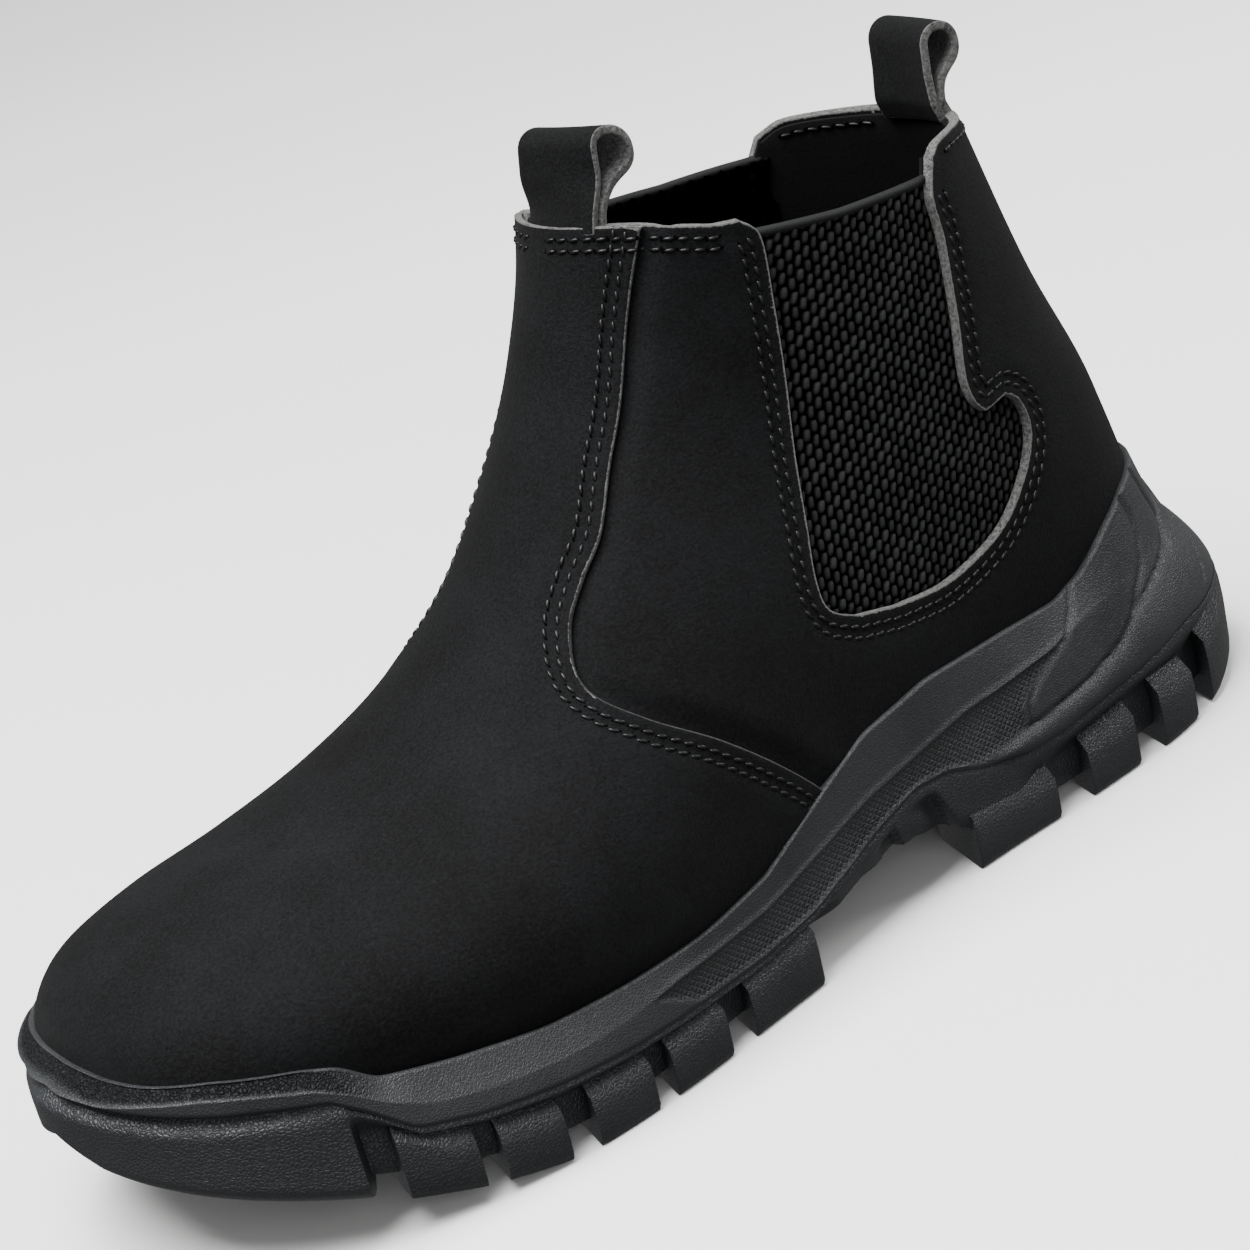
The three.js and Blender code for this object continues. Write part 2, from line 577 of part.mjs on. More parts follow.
const upper = new THREE.Group();
upper.add(
  piece('vamp', vamp, nubuck),
  piece('quarter_left', quarterLeft, nubuck),
  piece('quarter_right', quarterRight, nubuck),
  piece('back_strip', backStrip, nubuck),
  piece('gore_left', goreLeft, elastic),
  piece('gore_right', goreRight, elastic),
  piece('vamp_lining', vampLining, textile),
  piece('quarter_lining_left', quarterLiningLeft, textile),
  piece('quarter_lining_right', quarterLiningRight, textile),
  piece('steel_toe_cap', steelToeCap, steel),
  piece('toe_cap_trim', toeCapTrim, plastic),
  piece('heel_counter', heelCounter, thermoplastic),
);

const bottom = new THREE.Group();
bottom.add(
  piece('footbed', footbed, foam),
  piece('insole_board', insoleBoard, fibreboard),
  piece('steel_shank', steelShank, steel),
  piece('bottom_filler', bottomFiller, cork),
  piece('midsole', midsole, polyurethane),
  piece('outsole', outsole, rubber),
);

// Each tab's hinge lies just above the top line, between leather and lining.
const TAB_DEPTH = 3.2; // hinge axis inside the leather's outer face
function pullTab(name, surfaceX, inwards, leanDegrees) {
  const tab = piece(name, tabGeometry(), nubuck);
  const x = surfaceX + inwards * TAB_DEPTH;
  tab.position.set(x, STRAP_Y, heightAt(topLine, x) + TAB_CLEAR);
  tab.rotation.y = THREE.MathUtils.degToRad(leanDegrees);
  return tab;
}
const frontTab = pullTab('front_pull_tab', upperPoint(TOP, 0).x, 1, 15);
const rearTab = pullTab('rear_pull_tab', upperPoint(TOP, Math.PI).x, -1, 3);

const boot = new THREE.Group();
boot.add(upper, bottom, frontTab, rearTab);

export default boot;
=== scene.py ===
"""Looks of the slip-on steel toe work boot, left foot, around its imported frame.

Metres in Blender, millimetres in the shape functions; toe towards -X, outer side towards -Y, +Z up.
"""

import json
import math

import bmesh
import bpy
import numpy as np
from mathutils import Matrix, Vector
from mathutils.bvhtree import BVHTree
from mathutils.geometry import delaunay_2d_cdt


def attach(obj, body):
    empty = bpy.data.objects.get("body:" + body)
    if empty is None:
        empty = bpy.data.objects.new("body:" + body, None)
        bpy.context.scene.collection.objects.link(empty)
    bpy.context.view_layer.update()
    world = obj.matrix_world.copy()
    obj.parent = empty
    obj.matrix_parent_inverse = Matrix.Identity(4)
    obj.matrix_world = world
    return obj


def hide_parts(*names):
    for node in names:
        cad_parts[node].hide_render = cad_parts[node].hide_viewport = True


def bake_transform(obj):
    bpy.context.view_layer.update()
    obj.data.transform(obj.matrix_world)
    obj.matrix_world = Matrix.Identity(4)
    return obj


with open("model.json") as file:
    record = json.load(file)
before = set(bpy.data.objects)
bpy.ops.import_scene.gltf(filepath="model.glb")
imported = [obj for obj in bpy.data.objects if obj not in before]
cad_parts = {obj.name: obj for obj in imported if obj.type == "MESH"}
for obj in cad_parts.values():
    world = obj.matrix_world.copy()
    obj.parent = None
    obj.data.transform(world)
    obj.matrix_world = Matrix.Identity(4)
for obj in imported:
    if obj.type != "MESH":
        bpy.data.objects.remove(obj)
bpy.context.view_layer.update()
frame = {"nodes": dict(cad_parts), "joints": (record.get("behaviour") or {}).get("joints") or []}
bpy.ops.object.select_all(action="DESELECT")
nodes = frame["nodes"]
joints = {joint["name"]: joint for joint in frame["joints"]}

MM = 0.001
LEATHER = 2.2
LAP = 1.7  # depth that a piece dips by to pass under its neighbour
LIP = 1.5  # width of the sole's edge that shows round the leather
CENTRE_Y = 2.2  # middle of the heel and of the tread
TINY = 1e-9  # keeps divisions away from nought

# ---------------------------------------------------------------------------
# Shape of the boot, as the frame has it
# ---------------------------------------------------------------------------
# The upper is lofted through sections that fan from the toe to the top line.
# front x, z,  base x, z,  half width, widest at, front roundness, base roundness, centre y
SECTIONS = np.array([
    [-143.5, 46, -143.5, 43, 0.5, 0.5, 2.2, 2.5, 4.7],
    [-142, 49.5, -143, 33, 15, 0.55, 2.2, 2.5, 4.7],
    [-137, 55, -140, 27.5, 26.5, 0.58, 2.2, 2.9, 4.7],
    [-125.5, 60, -130, 25.5, 37, 0.6, 2.2, 3.2, 4.2],
    [-107, 63, -110, 24, 45, 0.62, 2.2, 3.6, 3.2],
    [-85, 65.5, -86, 22, 49.5, 0.64, 2.2, 3.8, 1.7],
    [-64, 70.5, -60.5, 20.5, 52, 0.66, 2.15, 3.8, 0.7],
    [-45.5, 80.5, -30.5, 19.5, 50.5, 0.68, 2.1, 3.7, -0.3],
    [-30, 95, 7.5, 19.5, 45, 0.64, 2.1, 3.5, -0.3],
    [-16.5, 112, 54, 21.5, 41, 0.56, 2.1, 3.2, 1.2],
    [-7.5, 126, 101, 24, 38, 0.5, 2.1, 2.8, 2.2],
    [-1.5, 138.5, 130, 35, 36.5, 0.48, 2.1, 2.4, 2.2],
    [2.5, 147, 127.5, 73, 35, 0.48, 2.1, 2.3, 2.2],
    [5, 153.5, 116.5, 107.5, 34, 0.49, 2.1, 2.3, 2.2],
    [7, 159, 107, 147, 33.5, 0.5, 2.1, 2.3, 2.2],
])
TOP = len(SECTIONS) - 1

# Side-view lines, as x, z pairs.
VAMP_SEAM = [
    [20, 164.5], [16.5, 154.5], [11, 141.5], [2.5, 123.5], [-5.5, 112], [-13, 102], [-20, 95.5],
    [-27.5, 87.5], [-31.5, 78.5], [-25, 70.5], [-12, 60], [1.5, 46.5], [11, 34.5], [19.5, 20],
]
GORE_CUT_FRONT = [
    [33.5, 150.5], [37, 146], [36, 133], [33.5, 117], [30, 103], [26.5, 89], [23.5, 78], [24, 71],
    [31, 66.5],
]
GORE_CUT_BASE = [
    [42, 63.5], [57, 62], [73, 65.5], [83.5, 73.5], [89, 81.5], [88.5, 88.5], [85, 92],
]
GORE_CUT_BACK = [
    [78, 91], [75.5, 94.5], [75, 100.5], [77.5, 112.5], [80, 128.5], [80, 137.5], [83.5, 145],
]
TOP_LINE_FRONT = [
    [-2.5, 159], [4.5, 157.5], [11.5, 156.5], [21.5, 153.5], [29.5, 151], [33.5, 150.5],
]
TOP_LINE_BACK = [[83.5, 145], [89.5, 147], [101.5, 146], [113.5, 145], [139, 144]]
GORE_TOP_LINE = [[19.5, 148.5], [37.5, 146], [57, 143], [79, 141], [104, 139.5]]

# Sole lines: height of the edge, of the knee under the bevelled edge, of the joint between
# midsole and outsole, of the underside between the lugs, and of the tops of the lugs.
SOLE_TOP = [
    [-149.5, 43.5], [-131.5, 43], [-117.5, 40.5], [-111, 38.5], [-105, 33.5], [-90, 30.5],
    [-71, 27.5], [-52, 27], [-32, 27.5], [-13, 30], [3, 36.5], [21.5, 44], [41.5, 46.5],
    [67.5, 45], [84.5, 43.5], [93.5, 46], [103.5, 52], [114, 56.5], [125, 58], [142, 57.5],
]
KNEE = [
    [-152.4, 41.3], [-143, 41.4], [-136, 41], [-128, 39.5], [-118, 37.2], [-112, 34], [-106, 29.5],
    [-98, 25.5], [-85, 23], [-70, 21.5], [-55, 21.5], [-42, 23.2], [-31, 23.6], [-15, 24.2],
    [2, 27.6], [19, 31.5], [36, 33.8], [49, 35.5], [63, 36], [78, 36.8], [92, 39], [105, 40],
    [120, 41], [152.4, 40],
]
PARTING = [
    [-163.5, 41.5], [-150, 40], [-142, 37.5], [-132, 35.5], [-116, 33.5], [-110, 29], [-102.5, 22],
    [-89.5, 19], [-74.5, 17], [-54.5, 15.5], [-18.5, 14.5], [-2.5, 16], [9.5, 19.5], [20, 23],
    [32, 26], [42, 25], [52, 21], [63.5, 18.5], [75.5, 18.5], [101, 21], [118, 23], [176, 22.5],
]
UNDERSIDE = [
    [-165, 30], [-150, 24], [-144, 20.5], [-130, 15], [-113, 9.8], [-112, 17], [-95, 13.5],
    [-80, 10.5], [-55, 9], [-30, 8], [-10, 9], [1, 12], [13, 15.5], [30, 16], [39, 13.5],
    [47, 8.5], [65, 7], [95, 7], [125, 8.5], [142, 12], [170, 18],
]
TREAD_LINE = [
    [-165, 30], [-150, 24], [-144, 20.5], [-130, 15], [-112, 9.5], [-93, 4], [-76, 0.8], [-66, 0],
    [116, 0], [128, 1], [140, 3.6], [149, 8], [170, 16],
]
LUG_TOP = [
    [-108, 22], [-101, 17.5], [-94, 15.2], [-88, 13.5], [-75, 11.4], [-60, 10.5], [-25, 11],
    [-4, 12.5], [20, 15], [42, 12.5], [70, 9.5], [79, 11], [94, 12.3], [103, 13.3], [118, 12],
    [130, 15], [152, 18],
]
SOLE_PLAN = [
    [-152.4, 4.7], [-149.3, -10.5], [-142.8, -22.8], [-132.3, -33.5], [-116, -43.8], [-94.5, -50.4],
    [-70, -53.6], [-45, -52.6], [-15, -47.8], [15, -43], [50, -39.5], [85, -38], [112, -34.5],
    [132.5, -26], [147, -12], [152.4, 2.2], [147, 16.4], [132.5, 30.4], [112, 38.5], [85, 41.5],
    [50, 42.5], [15, 44], [-15, 47], [-45, 51], [-70, 53.6], [-94.5, 53.2], [-116, 50],
    [-133.5, 41.3], [-143.3, 30], [-149, 17.5],
]
BUMPER_END = -113.5
# Sculpted lines on the heel, and the ends of the knurled panel.
PILLAR = [[90, 45.5], [87, 41], [83, 37.5], [76, 34.5], [70, 31.5], [67, 28.5], [67, 23]]
HEEL_RIDGE = [
    [50, 21.9], [66, 23.9], [85, 25.8], [96, 28.5], [104, 33], [113, 36], [120, 38], [126, 40.5],
    [132, 45], [140, 50],
]
HEEL_CREASES = [
    [[113, 57], [115, 50], [114.5, 45], [112, 40], [107, 36.5], [104, 33.5]],
    [[124, 58], [127, 50], [129, 45], [128, 41], [124, 38]],
    [[133, 57], [137, 49], [140, 42], [138, 34], [132, 27]],
]
EDGE_LUGS = [
    [-107.5, -93], [-88.5, -75], [-68.5, -53.5], [-48.5, -32.5], [-25.5, -4.5], [44.5, 69],
    [79, 94.5], [103, 116],
]
MIDDLE_LUGS = [[-98, -84], [-77, -62], [-55, -39], [-32, -14], [56, 72], [82, 98]]
LUG_DEPTH = 20
LUG_SKEW = 5
MIDDLE_HALF = 17
CHEVRON = 6
REAR_LUG = 123
ARCH_RIBS = [24, 38]


def catmull_rows(keys, t):
    """Rows of keys, joined by uniform Catmull-Rom curves, at the parameters t."""
    last = len(keys) - 1
    t = np.clip(np.asarray(t, float), 0, last - TINY)
    i = t.astype(int)
    u = (t - i)[..., None]
    before = np.where((i > 0)[..., None], keys[np.clip(i - 1, 0, last)], 2 * keys[0] - keys[1])
    beyond = 2 * keys[last] - keys[last - 1]
    after = np.where((i + 2 <= last)[..., None], keys[np.clip(i + 2, 0, last)], beyond)
    start, end = keys[i], keys[i + 1]
    cubic = (-before + 3 * start - 3 * end + after) * u**3
    square = (2 * before - 5 * start + 4 * end - after) * u**2
    return 0.5 * (2 * start + (end - before) * u + square + cubic)


def upper_point(s, turn):
    """Point of the upper. s runs from the toe to the top line; turn is the angle from the front
    ridge (0) down the outer side to the base (pi), and negative on the inner side."""
    s, turn = np.broadcast_arrays(np.asarray(s, float), np.asarray(turn, float))
    fx, fz, bx, bz, width, widest, front, base, centre = np.moveaxis(catmull_rows(SECTIONS, s), -1, 0)
    c, sn = np.cos(turn), np.sin(turn)
    power = np.where(c > 0, front, base)
    size = (np.abs(c) ** power + np.abs(sn) ** power) ** (1 / power)
    along, across = np.abs(c) / size, np.abs(sn) / size
    share = np.where(c > 0, widest * (1 - along), widest + (1 - widest) * along)
    y = -np.sign(sn) * width * across + centre
    return np.stack([fx + (bx - fx) * share, y, fz + (bz - fz) * share], -1)


def upper_normal(s, turn):
    """Outward unit normal of the upper."""
    s, turn = np.broadcast_arrays(np.asarray(s, float), np.asarray(turn, float))
    d = 0.02
    along_s = upper_point(np.minimum(s + d, TOP), turn) - upper_point(np.maximum(s - d, 0), turn)
    around = upper_point(s, turn + d) - upper_point(s, turn - d)
    normal = np.cross(around, along_s)
    return normal / np.maximum(np.linalg.norm(normal, axis=-1, keepdims=True), TINY)


def on_upper(s, turn, inset):
    """Point at a depth under the upper's face."""
    return upper_point(s, turn) - upper_normal(s, turn) * np.asarray(inset)[..., None]


def pattern(line):
    """s and turn (outer side) of side-view points x, z."""
    x, z = np.asarray(line, float).T
    low, high = np.zeros(len(x)), np.full(len(x), float(TOP))
    for _ in range(40):
        middle = (low + high) / 2
        fx, fz, bx, bz = catmull_rows(SECTIONS, middle)[:, :4].T
        past = (x - fx) * (bz - fz) - (z - fz) * (bx - fx) > 0
        low, high = np.where(past, low, middle), np.where(past, middle, high)
    fx, fz, bx, bz, _, widest, front, base, _ = catmull_rows(SECTIONS, low).T
    share = ((x - fx) * (bx - fx) + (z - fz) * (bz - fz)) / ((bx - fx) ** 2 + (bz - fz) ** 2)
    share = np.clip(share, 0, 1)
    ahead = share < widest
    along = np.where(ahead, 1 - share / widest, (share - widest) / (1 - widest))
    power = np.where(ahead, front, base)
    across = np.maximum(1 - along**power, 0) ** (1 / power)
    return np.stack([low, np.arctan2(across, np.where(ahead, along, -along))], -1)


# ---------------------------------------------------------------------------
# Lines and outlines
# ---------------------------------------------------------------------------
def smooth(points, step):
    """Evenly spaced points about step apart on a smooth curve through points."""
    keys = np.array(points, float)
    t = np.linspace(0, len(keys) - 1, 40 * len(keys))
    return resample(catmull_rows(keys, t), step)


def way_along(points):
    """Distance of every point of a line from its start, along the line."""
    return np.concatenate([[0], np.cumsum(np.linalg.norm(np.diff(points, axis=0), axis=1))])


def resample(points, step):
    """Evenly spaced points about step apart on straight lines between points."""
    points = np.asarray(points, float)
    length = way_along(points)
    count = max(2, round(length[-1] / step) + 1)
    at = np.linspace(0, length[-1], count)
    return np.stack([np.interp(at, length, column) for column in points.T], -1)


def beside(line, distance):
    """A side-view line moved to its left by a distance measured on the leather, without its folds."""
    laid = pattern(line)
    path = upper_point(laid[:, 0], laid[:, 1])
    tangent = np.gradient(path, axis=0)
    tangent /= np.maximum(np.linalg.norm(tangent, axis=1, keepdims=True), TINY)
    moved = path + np.cross(upper_normal(laid[:, 0], laid[:, 1]), tangent) * distance
    kept = distance_to(path, moved) >= abs(distance) * 0.97
    return moved[kept][:, [0, 2]]


def leather_gap(path, s, turn):
    """Distance of pattern points of either side from a path on the outer side."""
    return distance_to(path, upper_point(s, np.abs(turn)))


def distance_to(line, points):
    """Distance of points from a line, in as many dimensions as they have."""
    nearest = np.full(len(points), np.inf)
    for start, run in zip(line[:-1], np.diff(line, axis=0)):
        share = np.clip((points - start) @ run / max(run @ run, TINY), 0, 1)
        gap = np.linalg.norm(points - start - share[:, None] * run, axis=1)
        nearest = np.minimum(nearest, gap)
    return nearest


def inside(outline, x, z):
    """Whether points x, z lie in a closed outline."""
    found = np.zeros(len(x), bool)
    for (x0, z0), (x1, z1) in zip(outline, np.roll(outline, -1, axis=0)):
        if z0 != z1:
            crosses = (z0 > z) != (z1 > z)
            found ^= crosses & (x < (x1 - x0) * (z - z0) / (z1 - z0) + x0)
    return found


def smoothstep(value, low, high):
    """0 below low, 1 above high, and a soft step between them."""
    t = np.clip((value - low) / (high - low), 0, 1)
    return t * t * (3 - 2 * t)


def bump(distance, width):
    """1 at no distance, falling off over about width."""
    return np.exp(-((distance / width) ** 2))


def eased(values, width, reach):
    """Values round a closed ring, blurred over about width of them."""
    kernel = bump(np.arange(-reach, reach + 1), width)
    ring = np.concatenate([values[-reach:], values, values[:reach]])
    return np.convolve(ring, kernel / kernel.sum(), "valid")


def height(line, x):
    """Height of a side-view line at x."""
    points = np.array(line, float)
    return np.interp(x, points[:, 0], points[:, 1])


STEP = 1.4
vamp_seam = smooth(VAMP_SEAM, STEP)
gore_cut = resample(np.concatenate([
    smooth(GORE_CUT_FRONT, STEP), smooth(GORE_CUT_BASE, STEP), smooth(GORE_CUT_BACK, STEP),
]), STEP)
top_front = smooth(TOP_LINE_FRONT, STEP)
top_back = smooth(TOP_LINE_BACK, STEP)
seam_path = upper_point(*pattern(vamp_seam).T)
cut_path = upper_point(*pattern(gore_cut).T)
worn_vamp_rim = upper_point(*pattern(np.concatenate([
    top_front[(top_front[:, 0] > 6.3) & (top_front[:, 0] < 17)],
    vamp_seam[(vamp_seam[:, 1] < 156) & (vamp_seam[:, 1] > 76)],
])).T)
worn_quarter_rim = upper_point(*pattern(np.concatenate([
    top_front[top_front[:, 0] > 16], gore_cut, top_back[top_back[:, 0] < 107],
])).T)
vamp_side = np.concatenate([vamp_seam, [[19.5, -20], [-200, -20], [-200, 230], [20, 230]]])


# ---------------------------------------------------------------------------
# Mesh tools
# ---------------------------------------------------------------------------
def add_object(name, points, faces, materials=()):
    """Smooth-shaded object at the origin, from points in millimetres."""
    mesh = bpy.data.meshes.new(name)
    mesh.from_pydata([tuple(p) for p in np.asarray(points) * MM], [], faces)
    mesh.validate()
    made = bpy.data.objects.new(name, mesh)
    bpy.context.scene.collection.objects.link(made)
    for material in materials:
        mesh.materials.append(material)
    mesh.polygons.foreach_set("use_smooth", [True] * len(mesh.polygons))
    return made


def only(made):
    """Selects one object and nothing else."""
    bpy.ops.object.select_all(action="DESELECT")
    made.select_set(True)
    bpy.context.view_layer.objects.active = made


def apply(made, kind, **settings):
    """Adds a modifier and applies it at once."""
    modifier = made.modifiers.new(kind.title(), kind)
    for key, value in settings.items():
        setattr(modifier, key, value)
    only(made)
    bpy.ops.object.modifier_apply(modifier=modifier.name)


def join(name, pieces):
    """One object made of several."""
    only(pieces[0])
    for made in pieces:
        made.select_set(True)
    bpy.ops.object.join()
    pieces[0].name = name
    pieces[0].data.name = name
    return pieces[0]


def soften(made, degrees):
    """Smooth shading, except over edges sharper than the angle."""
    only(made)
    bpy.ops.object.shade_smooth_by_angle(angle=math.radians(degrees))


def merge_doubles(made, outwards=True):
    """Merges points that meet, and turns a closed shape's faces outwards."""
    only(made)
    bpy.ops.object.mode_set(mode="EDIT")
    bpy.ops.mesh.select_all(action="SELECT")
    bpy.ops.mesh.remove_doubles(threshold=0.02 * MM)
    if outwards:
        bpy.ops.mesh.normals_make_consistent(inside=False)
    bpy.ops.object.mode_set(mode="OBJECT")


def round_edges(made, width, degrees, material=-1):
    """Rounds every edge sharper than the angle."""
    apply(
        made, "BEVEL", width=width * MM, segments=2, limit_method="ANGLE", angle_limit=math.radians(degrees),
        material=material,
    )


def store(made, name, values):
    """Attribute with one value per point, for a material to read."""
    attribute = made.data.attributes.new(name, "FLOAT", "POINT")
    attribute.data.foreach_set("value", np.asarray(values, np.float32))


def grid_faces(rows, columns, closed):
    """Quads of a grid of rows by columns; closed joins the last column to the first."""
    faces = []
    for r in range(rows - 1):
        for c in range(columns if closed else columns - 1):
            d = (c + 1) % columns
            faces.append((r * columns + c, r * columns + d, (r + 1) * columns + d, (r + 1) * columns + c))
    return faces


PATTERN_SCALE = np.array([15.0, 38.0])  # millimetres of leather in one unit of s and of turn
EDGE_STEP = 1.8  # between points along a panel's cut edge
EDGE_CLEAR = 0.45  # from the cut edge to the nearest point inside it
TIP = [-143.5, 4.7, 44.5]  # where all turns of s = 0 meet, under the toe band


def fill_outline(outline, rows, spacing):
    """Pattern points and triangles that fill an outline, with points of their own along rows."""
    closed = np.concatenate([outline, outline[:1]]) * PATTERN_SCALE
    closed = closed[np.append(True, np.linalg.norm(np.diff(closed, axis=0), axis=1) > 0.05)]
    sides = [resample(closed[i:i + 2], EDGE_STEP)[:-1] for i in range(len(closed) - 1)]
    outline = np.concatenate(sides) / PATTERN_SCALE
    low, high = outline.min(0), outline.max(0)
    s = np.arange(low[0], high[0], 0.7 * spacing / PATTERN_SCALE[0])
    turn = np.arange(low[1], high[1], spacing / PATTERN_SCALE[1])
    field = np.stack(np.meshgrid(s + 0.011, turn + 0.013), -1).reshape(-1, 2)
    for row in rows:
        field = field[distance_to(row * PATTERN_SCALE, field * PATTERN_SCALE) > 0.5 * spacing]
    extra = np.concatenate([field, *rows])
    edge = np.concatenate([outline, outline[:1]]) * PATTERN_SCALE
    keep = inside(outline, extra[:, 0], extra[:, 1])
    keep &= distance_to(edge, extra * PATTERN_SCALE) > EDGE_CLEAR
    flat = np.concatenate([outline, extra[keep]]) * PATTERN_SCALE
    count = len(outline)
    edges = [(i, (i + 1) % count) for i in range(count)]
    points, _, faces, *_ = delaunay_2d_cdt([Vector(p) for p in flat], edges, [], 1, 1e-4)
    return np.array([tuple(p) for p in points]) / PATTERN_SCALE, [tuple(f) for f in faces]


def cut_panel(name, outline, rows, inset, thickness, materials, spacing=2.8, edge_width=0.32, rim_path=None):
    """One flat-cut piece laid on the upper. inset(s, turn) gives its depth under the upper's face, a
    second material is for its cut edge, and its dye is worn off along rim_path."""
    laid, faces = fill_outline(outline, rows, spacing)
    place = on_upper(laid[:, 0], laid[:, 1], inset(laid[:, 0], laid[:, 1]))
    place[laid[:, 0] < 0.01] = TIP
    made = add_object(name, place, faces, materials)
    if rim_path is not None:
        store(made, "bare", np.clip(1 - leather_gap(rim_path, laid[:, 0], laid[:, 1]) / 1.1, 0, 1))
    merge_doubles(made, outwards=False)
    point_outwards(made)
    rim = len(materials) - 1
    apply(made, "SOLIDIFY", thickness=thickness * MM, offset=-1, material_offset_rim=rim)
    round_edges(made, edge_width, 55, rim or -1)
    soften(made, 50)
    return made


def point_outwards(made):
    """Turns an open sheet's faces away from the middle of the foot."""
    mesh = made.data
    middle = Vector((0.03, CENTRE_Y * MM, 0.07))
    toe = Vector((-0.07, CENTRE_Y * MM, 0.04))
    score = 0
    for polygon in list(mesh.polygons)[:: max(1, len(mesh.polygons) // 200)]:
        core = toe if polygon.center.x < -0.03 else middle
        score += 1 if (polygon.center - core).dot(polygon.normal) > 0 else -1
    if score < 0:
        mesh.flip_normals()


# ---------------------------------------------------------------------------
# Materials
# ---------------------------------------------------------------------------
def linear(code):
    """Linear colour of an sRGB hex code."""
    parts = [int(code[i:i + 2], 16) / 255 for i in (1, 3, 5)]
    return [p / 12.92 if p <= 0.04045 else ((p + 0.055) / 1.055) ** 2.4 for p in parts] + [1]


def new_material(name):
    """Material, its tree and its Principled shader."""
    material = bpy.data.materials.new(name)
    material.use_nodes = True
    tree = material.node_tree
    return material, tree, tree.nodes["Principled BSDF"]


def add(tree, kind, links=None, **settings):
    """Adds a node; settings are its properties or inputs, and links joins its inputs to outputs."""
    made = tree.nodes.new(kind)
    for key, value in settings.items():
        if hasattr(made, key):
            setattr(made, key, value)
        else:
            made.inputs[key.replace("_", " ")].default_value = value
    for key, output in (links or {}).items():
        tree.links.new(output, made.inputs[key])
    return made


def noise(tree, where, millimetres, detail=2.0, rough=0.5):
    """3-D noise whose largest features are about the given size."""
    made = add(
        tree, "ShaderNodeTexNoise", {"Vector": where}, Scale=1 / (millimetres * MM), Detail=detail,
        Roughness=rough,
    )
    return made.outputs["Fac"]


def ramp(tree, value, dark, light, low=0.0, high=1.0):
    """Colour that runs from dark at low to light at high."""
    made = add(tree, "ShaderNodeValToRGB", {"Fac": value})
    stops = made.color_ramp.elements
    stops[0].position, stops[0].color = low, linear(dark)
    stops[1].position, stops[1].color = high, linear(light)
    return made.outputs["Color"]


def maths(tree, operation, first, second=0.0):
    """Output of a Math node whose inputs are numbers or outputs."""
    made = add(tree, "ShaderNodeMath", operation=operation)
    for slot, value in enumerate((first, second)):
        if isinstance(value, (int, float)):
            made.inputs[slot].default_value = value
        else:
            tree.links.new(value, made.inputs[slot])
    return made.outputs[0]


def relief(tree, shader, heights):
    """Adds bump layers to a shader: pairs of a height output and its depth in millimetres."""
    normal = None
    for value, depth in heights:
        made = add(tree, "ShaderNodeBump", {"Height": value}, Strength=1.0, Distance=depth * MM)
        if normal:
            tree.links.new(normal, made.inputs["Normal"])
        normal = made.outputs["Normal"]
    tree.links.new(normal, shader.inputs["Normal"])


def object_space(tree):
    return add(tree, "ShaderNodeTexCoord").outputs["Object"]


def nubuck_leather():
    """Black buffed leather: a short matt nap, finely speckled, with soft cloudy wear."""
    material, tree, shader = new_material("black_nubuck_leather")
    where = object_space(tree)
    speck = noise(tree, where, 0.7, 4, 0.8)
    cloud = noise(tree, where, 26, 3, 0.55)
    mixed = maths(tree, "ADD", maths(tree, "MULTIPLY", speck, 0.72), maths(tree, "MULTIPLY", cloud, 0.28))
    bare = add(tree, "ShaderNodeAttribute", attribute_name="bare").outputs["Fac"]
    frayed = maths(tree, "ADD", bare, maths(tree, "MULTIPLY", noise(tree, where, 0.8, 3, 0.7), 0.7))
    steep = maths(tree, "MULTIPLY", maths(tree, "SUBTRACT", frayed, 1.02), 7.0)
    worn = add(tree, "ShaderNodeClamp", {"Value": steep})
    shown = add(tree, "ShaderNodeMix", {0: worn.outputs[0]}, data_type="RGBA")
    tree.links.new(ramp(tree, mixed, "#010101", "#151618", 0.41, 0.68), shown.inputs[6])
    shown.inputs[7].default_value = linear("#60605e")
    tree.links.new(shown.outputs[2], shader.inputs["Base Color"])
    shader.inputs["Roughness"].default_value = 0.68
    shader.inputs["Specular IOR Level"].default_value = 0.085
    shader.inputs["Sheen Weight"].default_value = 0.02
    shader.inputs["Sheen Roughness"].default_value = 0.5
    relief(tree, shader, [(speck, 0.3), (noise(tree, where, 14, 2), 0.25)])
    return material


def raw_edge(name, darker_below):
    """Undyed cut edge of the leather: pale grey loose fibres, darker below a height in millimetres."""
    material, tree, shader = new_material(name)
    where = object_space(tree)
    fibres = noise(tree, where, 0.9, 4, 0.85)
    level = add(tree, "ShaderNodeSeparateXYZ", {"Vector": where}).outputs["Z"]
    # Below the given height the fibres' grey is dimmed to 0.42 of itself, rising back to full over 25 mm.
    bare = maths(tree, "DIVIDE", maths(tree, "SUBTRACT", level, darker_below * MM), 25 * MM)
    height_dimming = add(tree, "ShaderNodeClamp", {"Value": bare}, Min=0.42)
    shade = maths(tree, "MULTIPLY", fibres, height_dimming.outputs[0])
    tree.links.new(ramp(tree, shade, "#0a0a0b", "#626260", 0.37, 0.62), shader.inputs["Base Color"])
    shader.inputs["Roughness"].default_value = 0.95
    shader.inputs["Sheen Weight"].default_value = 0.1
    relief(tree, shader, [(fibres, 0.5)])
    return material


def flesh_side():
    """Grey suede back of the strap leather."""
    material, tree, shader = new_material("grey_suede_flesh_side")
    where = object_space(tree)
    nap = noise(tree, where, 0.9, 4, 0.85)
    tree.links.new(ramp(tree, nap, "#0c0c0d", "#505051", 0.38, 0.62), shader.inputs["Base Color"])
    shader.inputs["Roughness"].default_value = 0.95
    shader.inputs["Sheen Weight"].default_value = 0.1
    relief(tree, shader, [(nap, 0.35)])
    return material


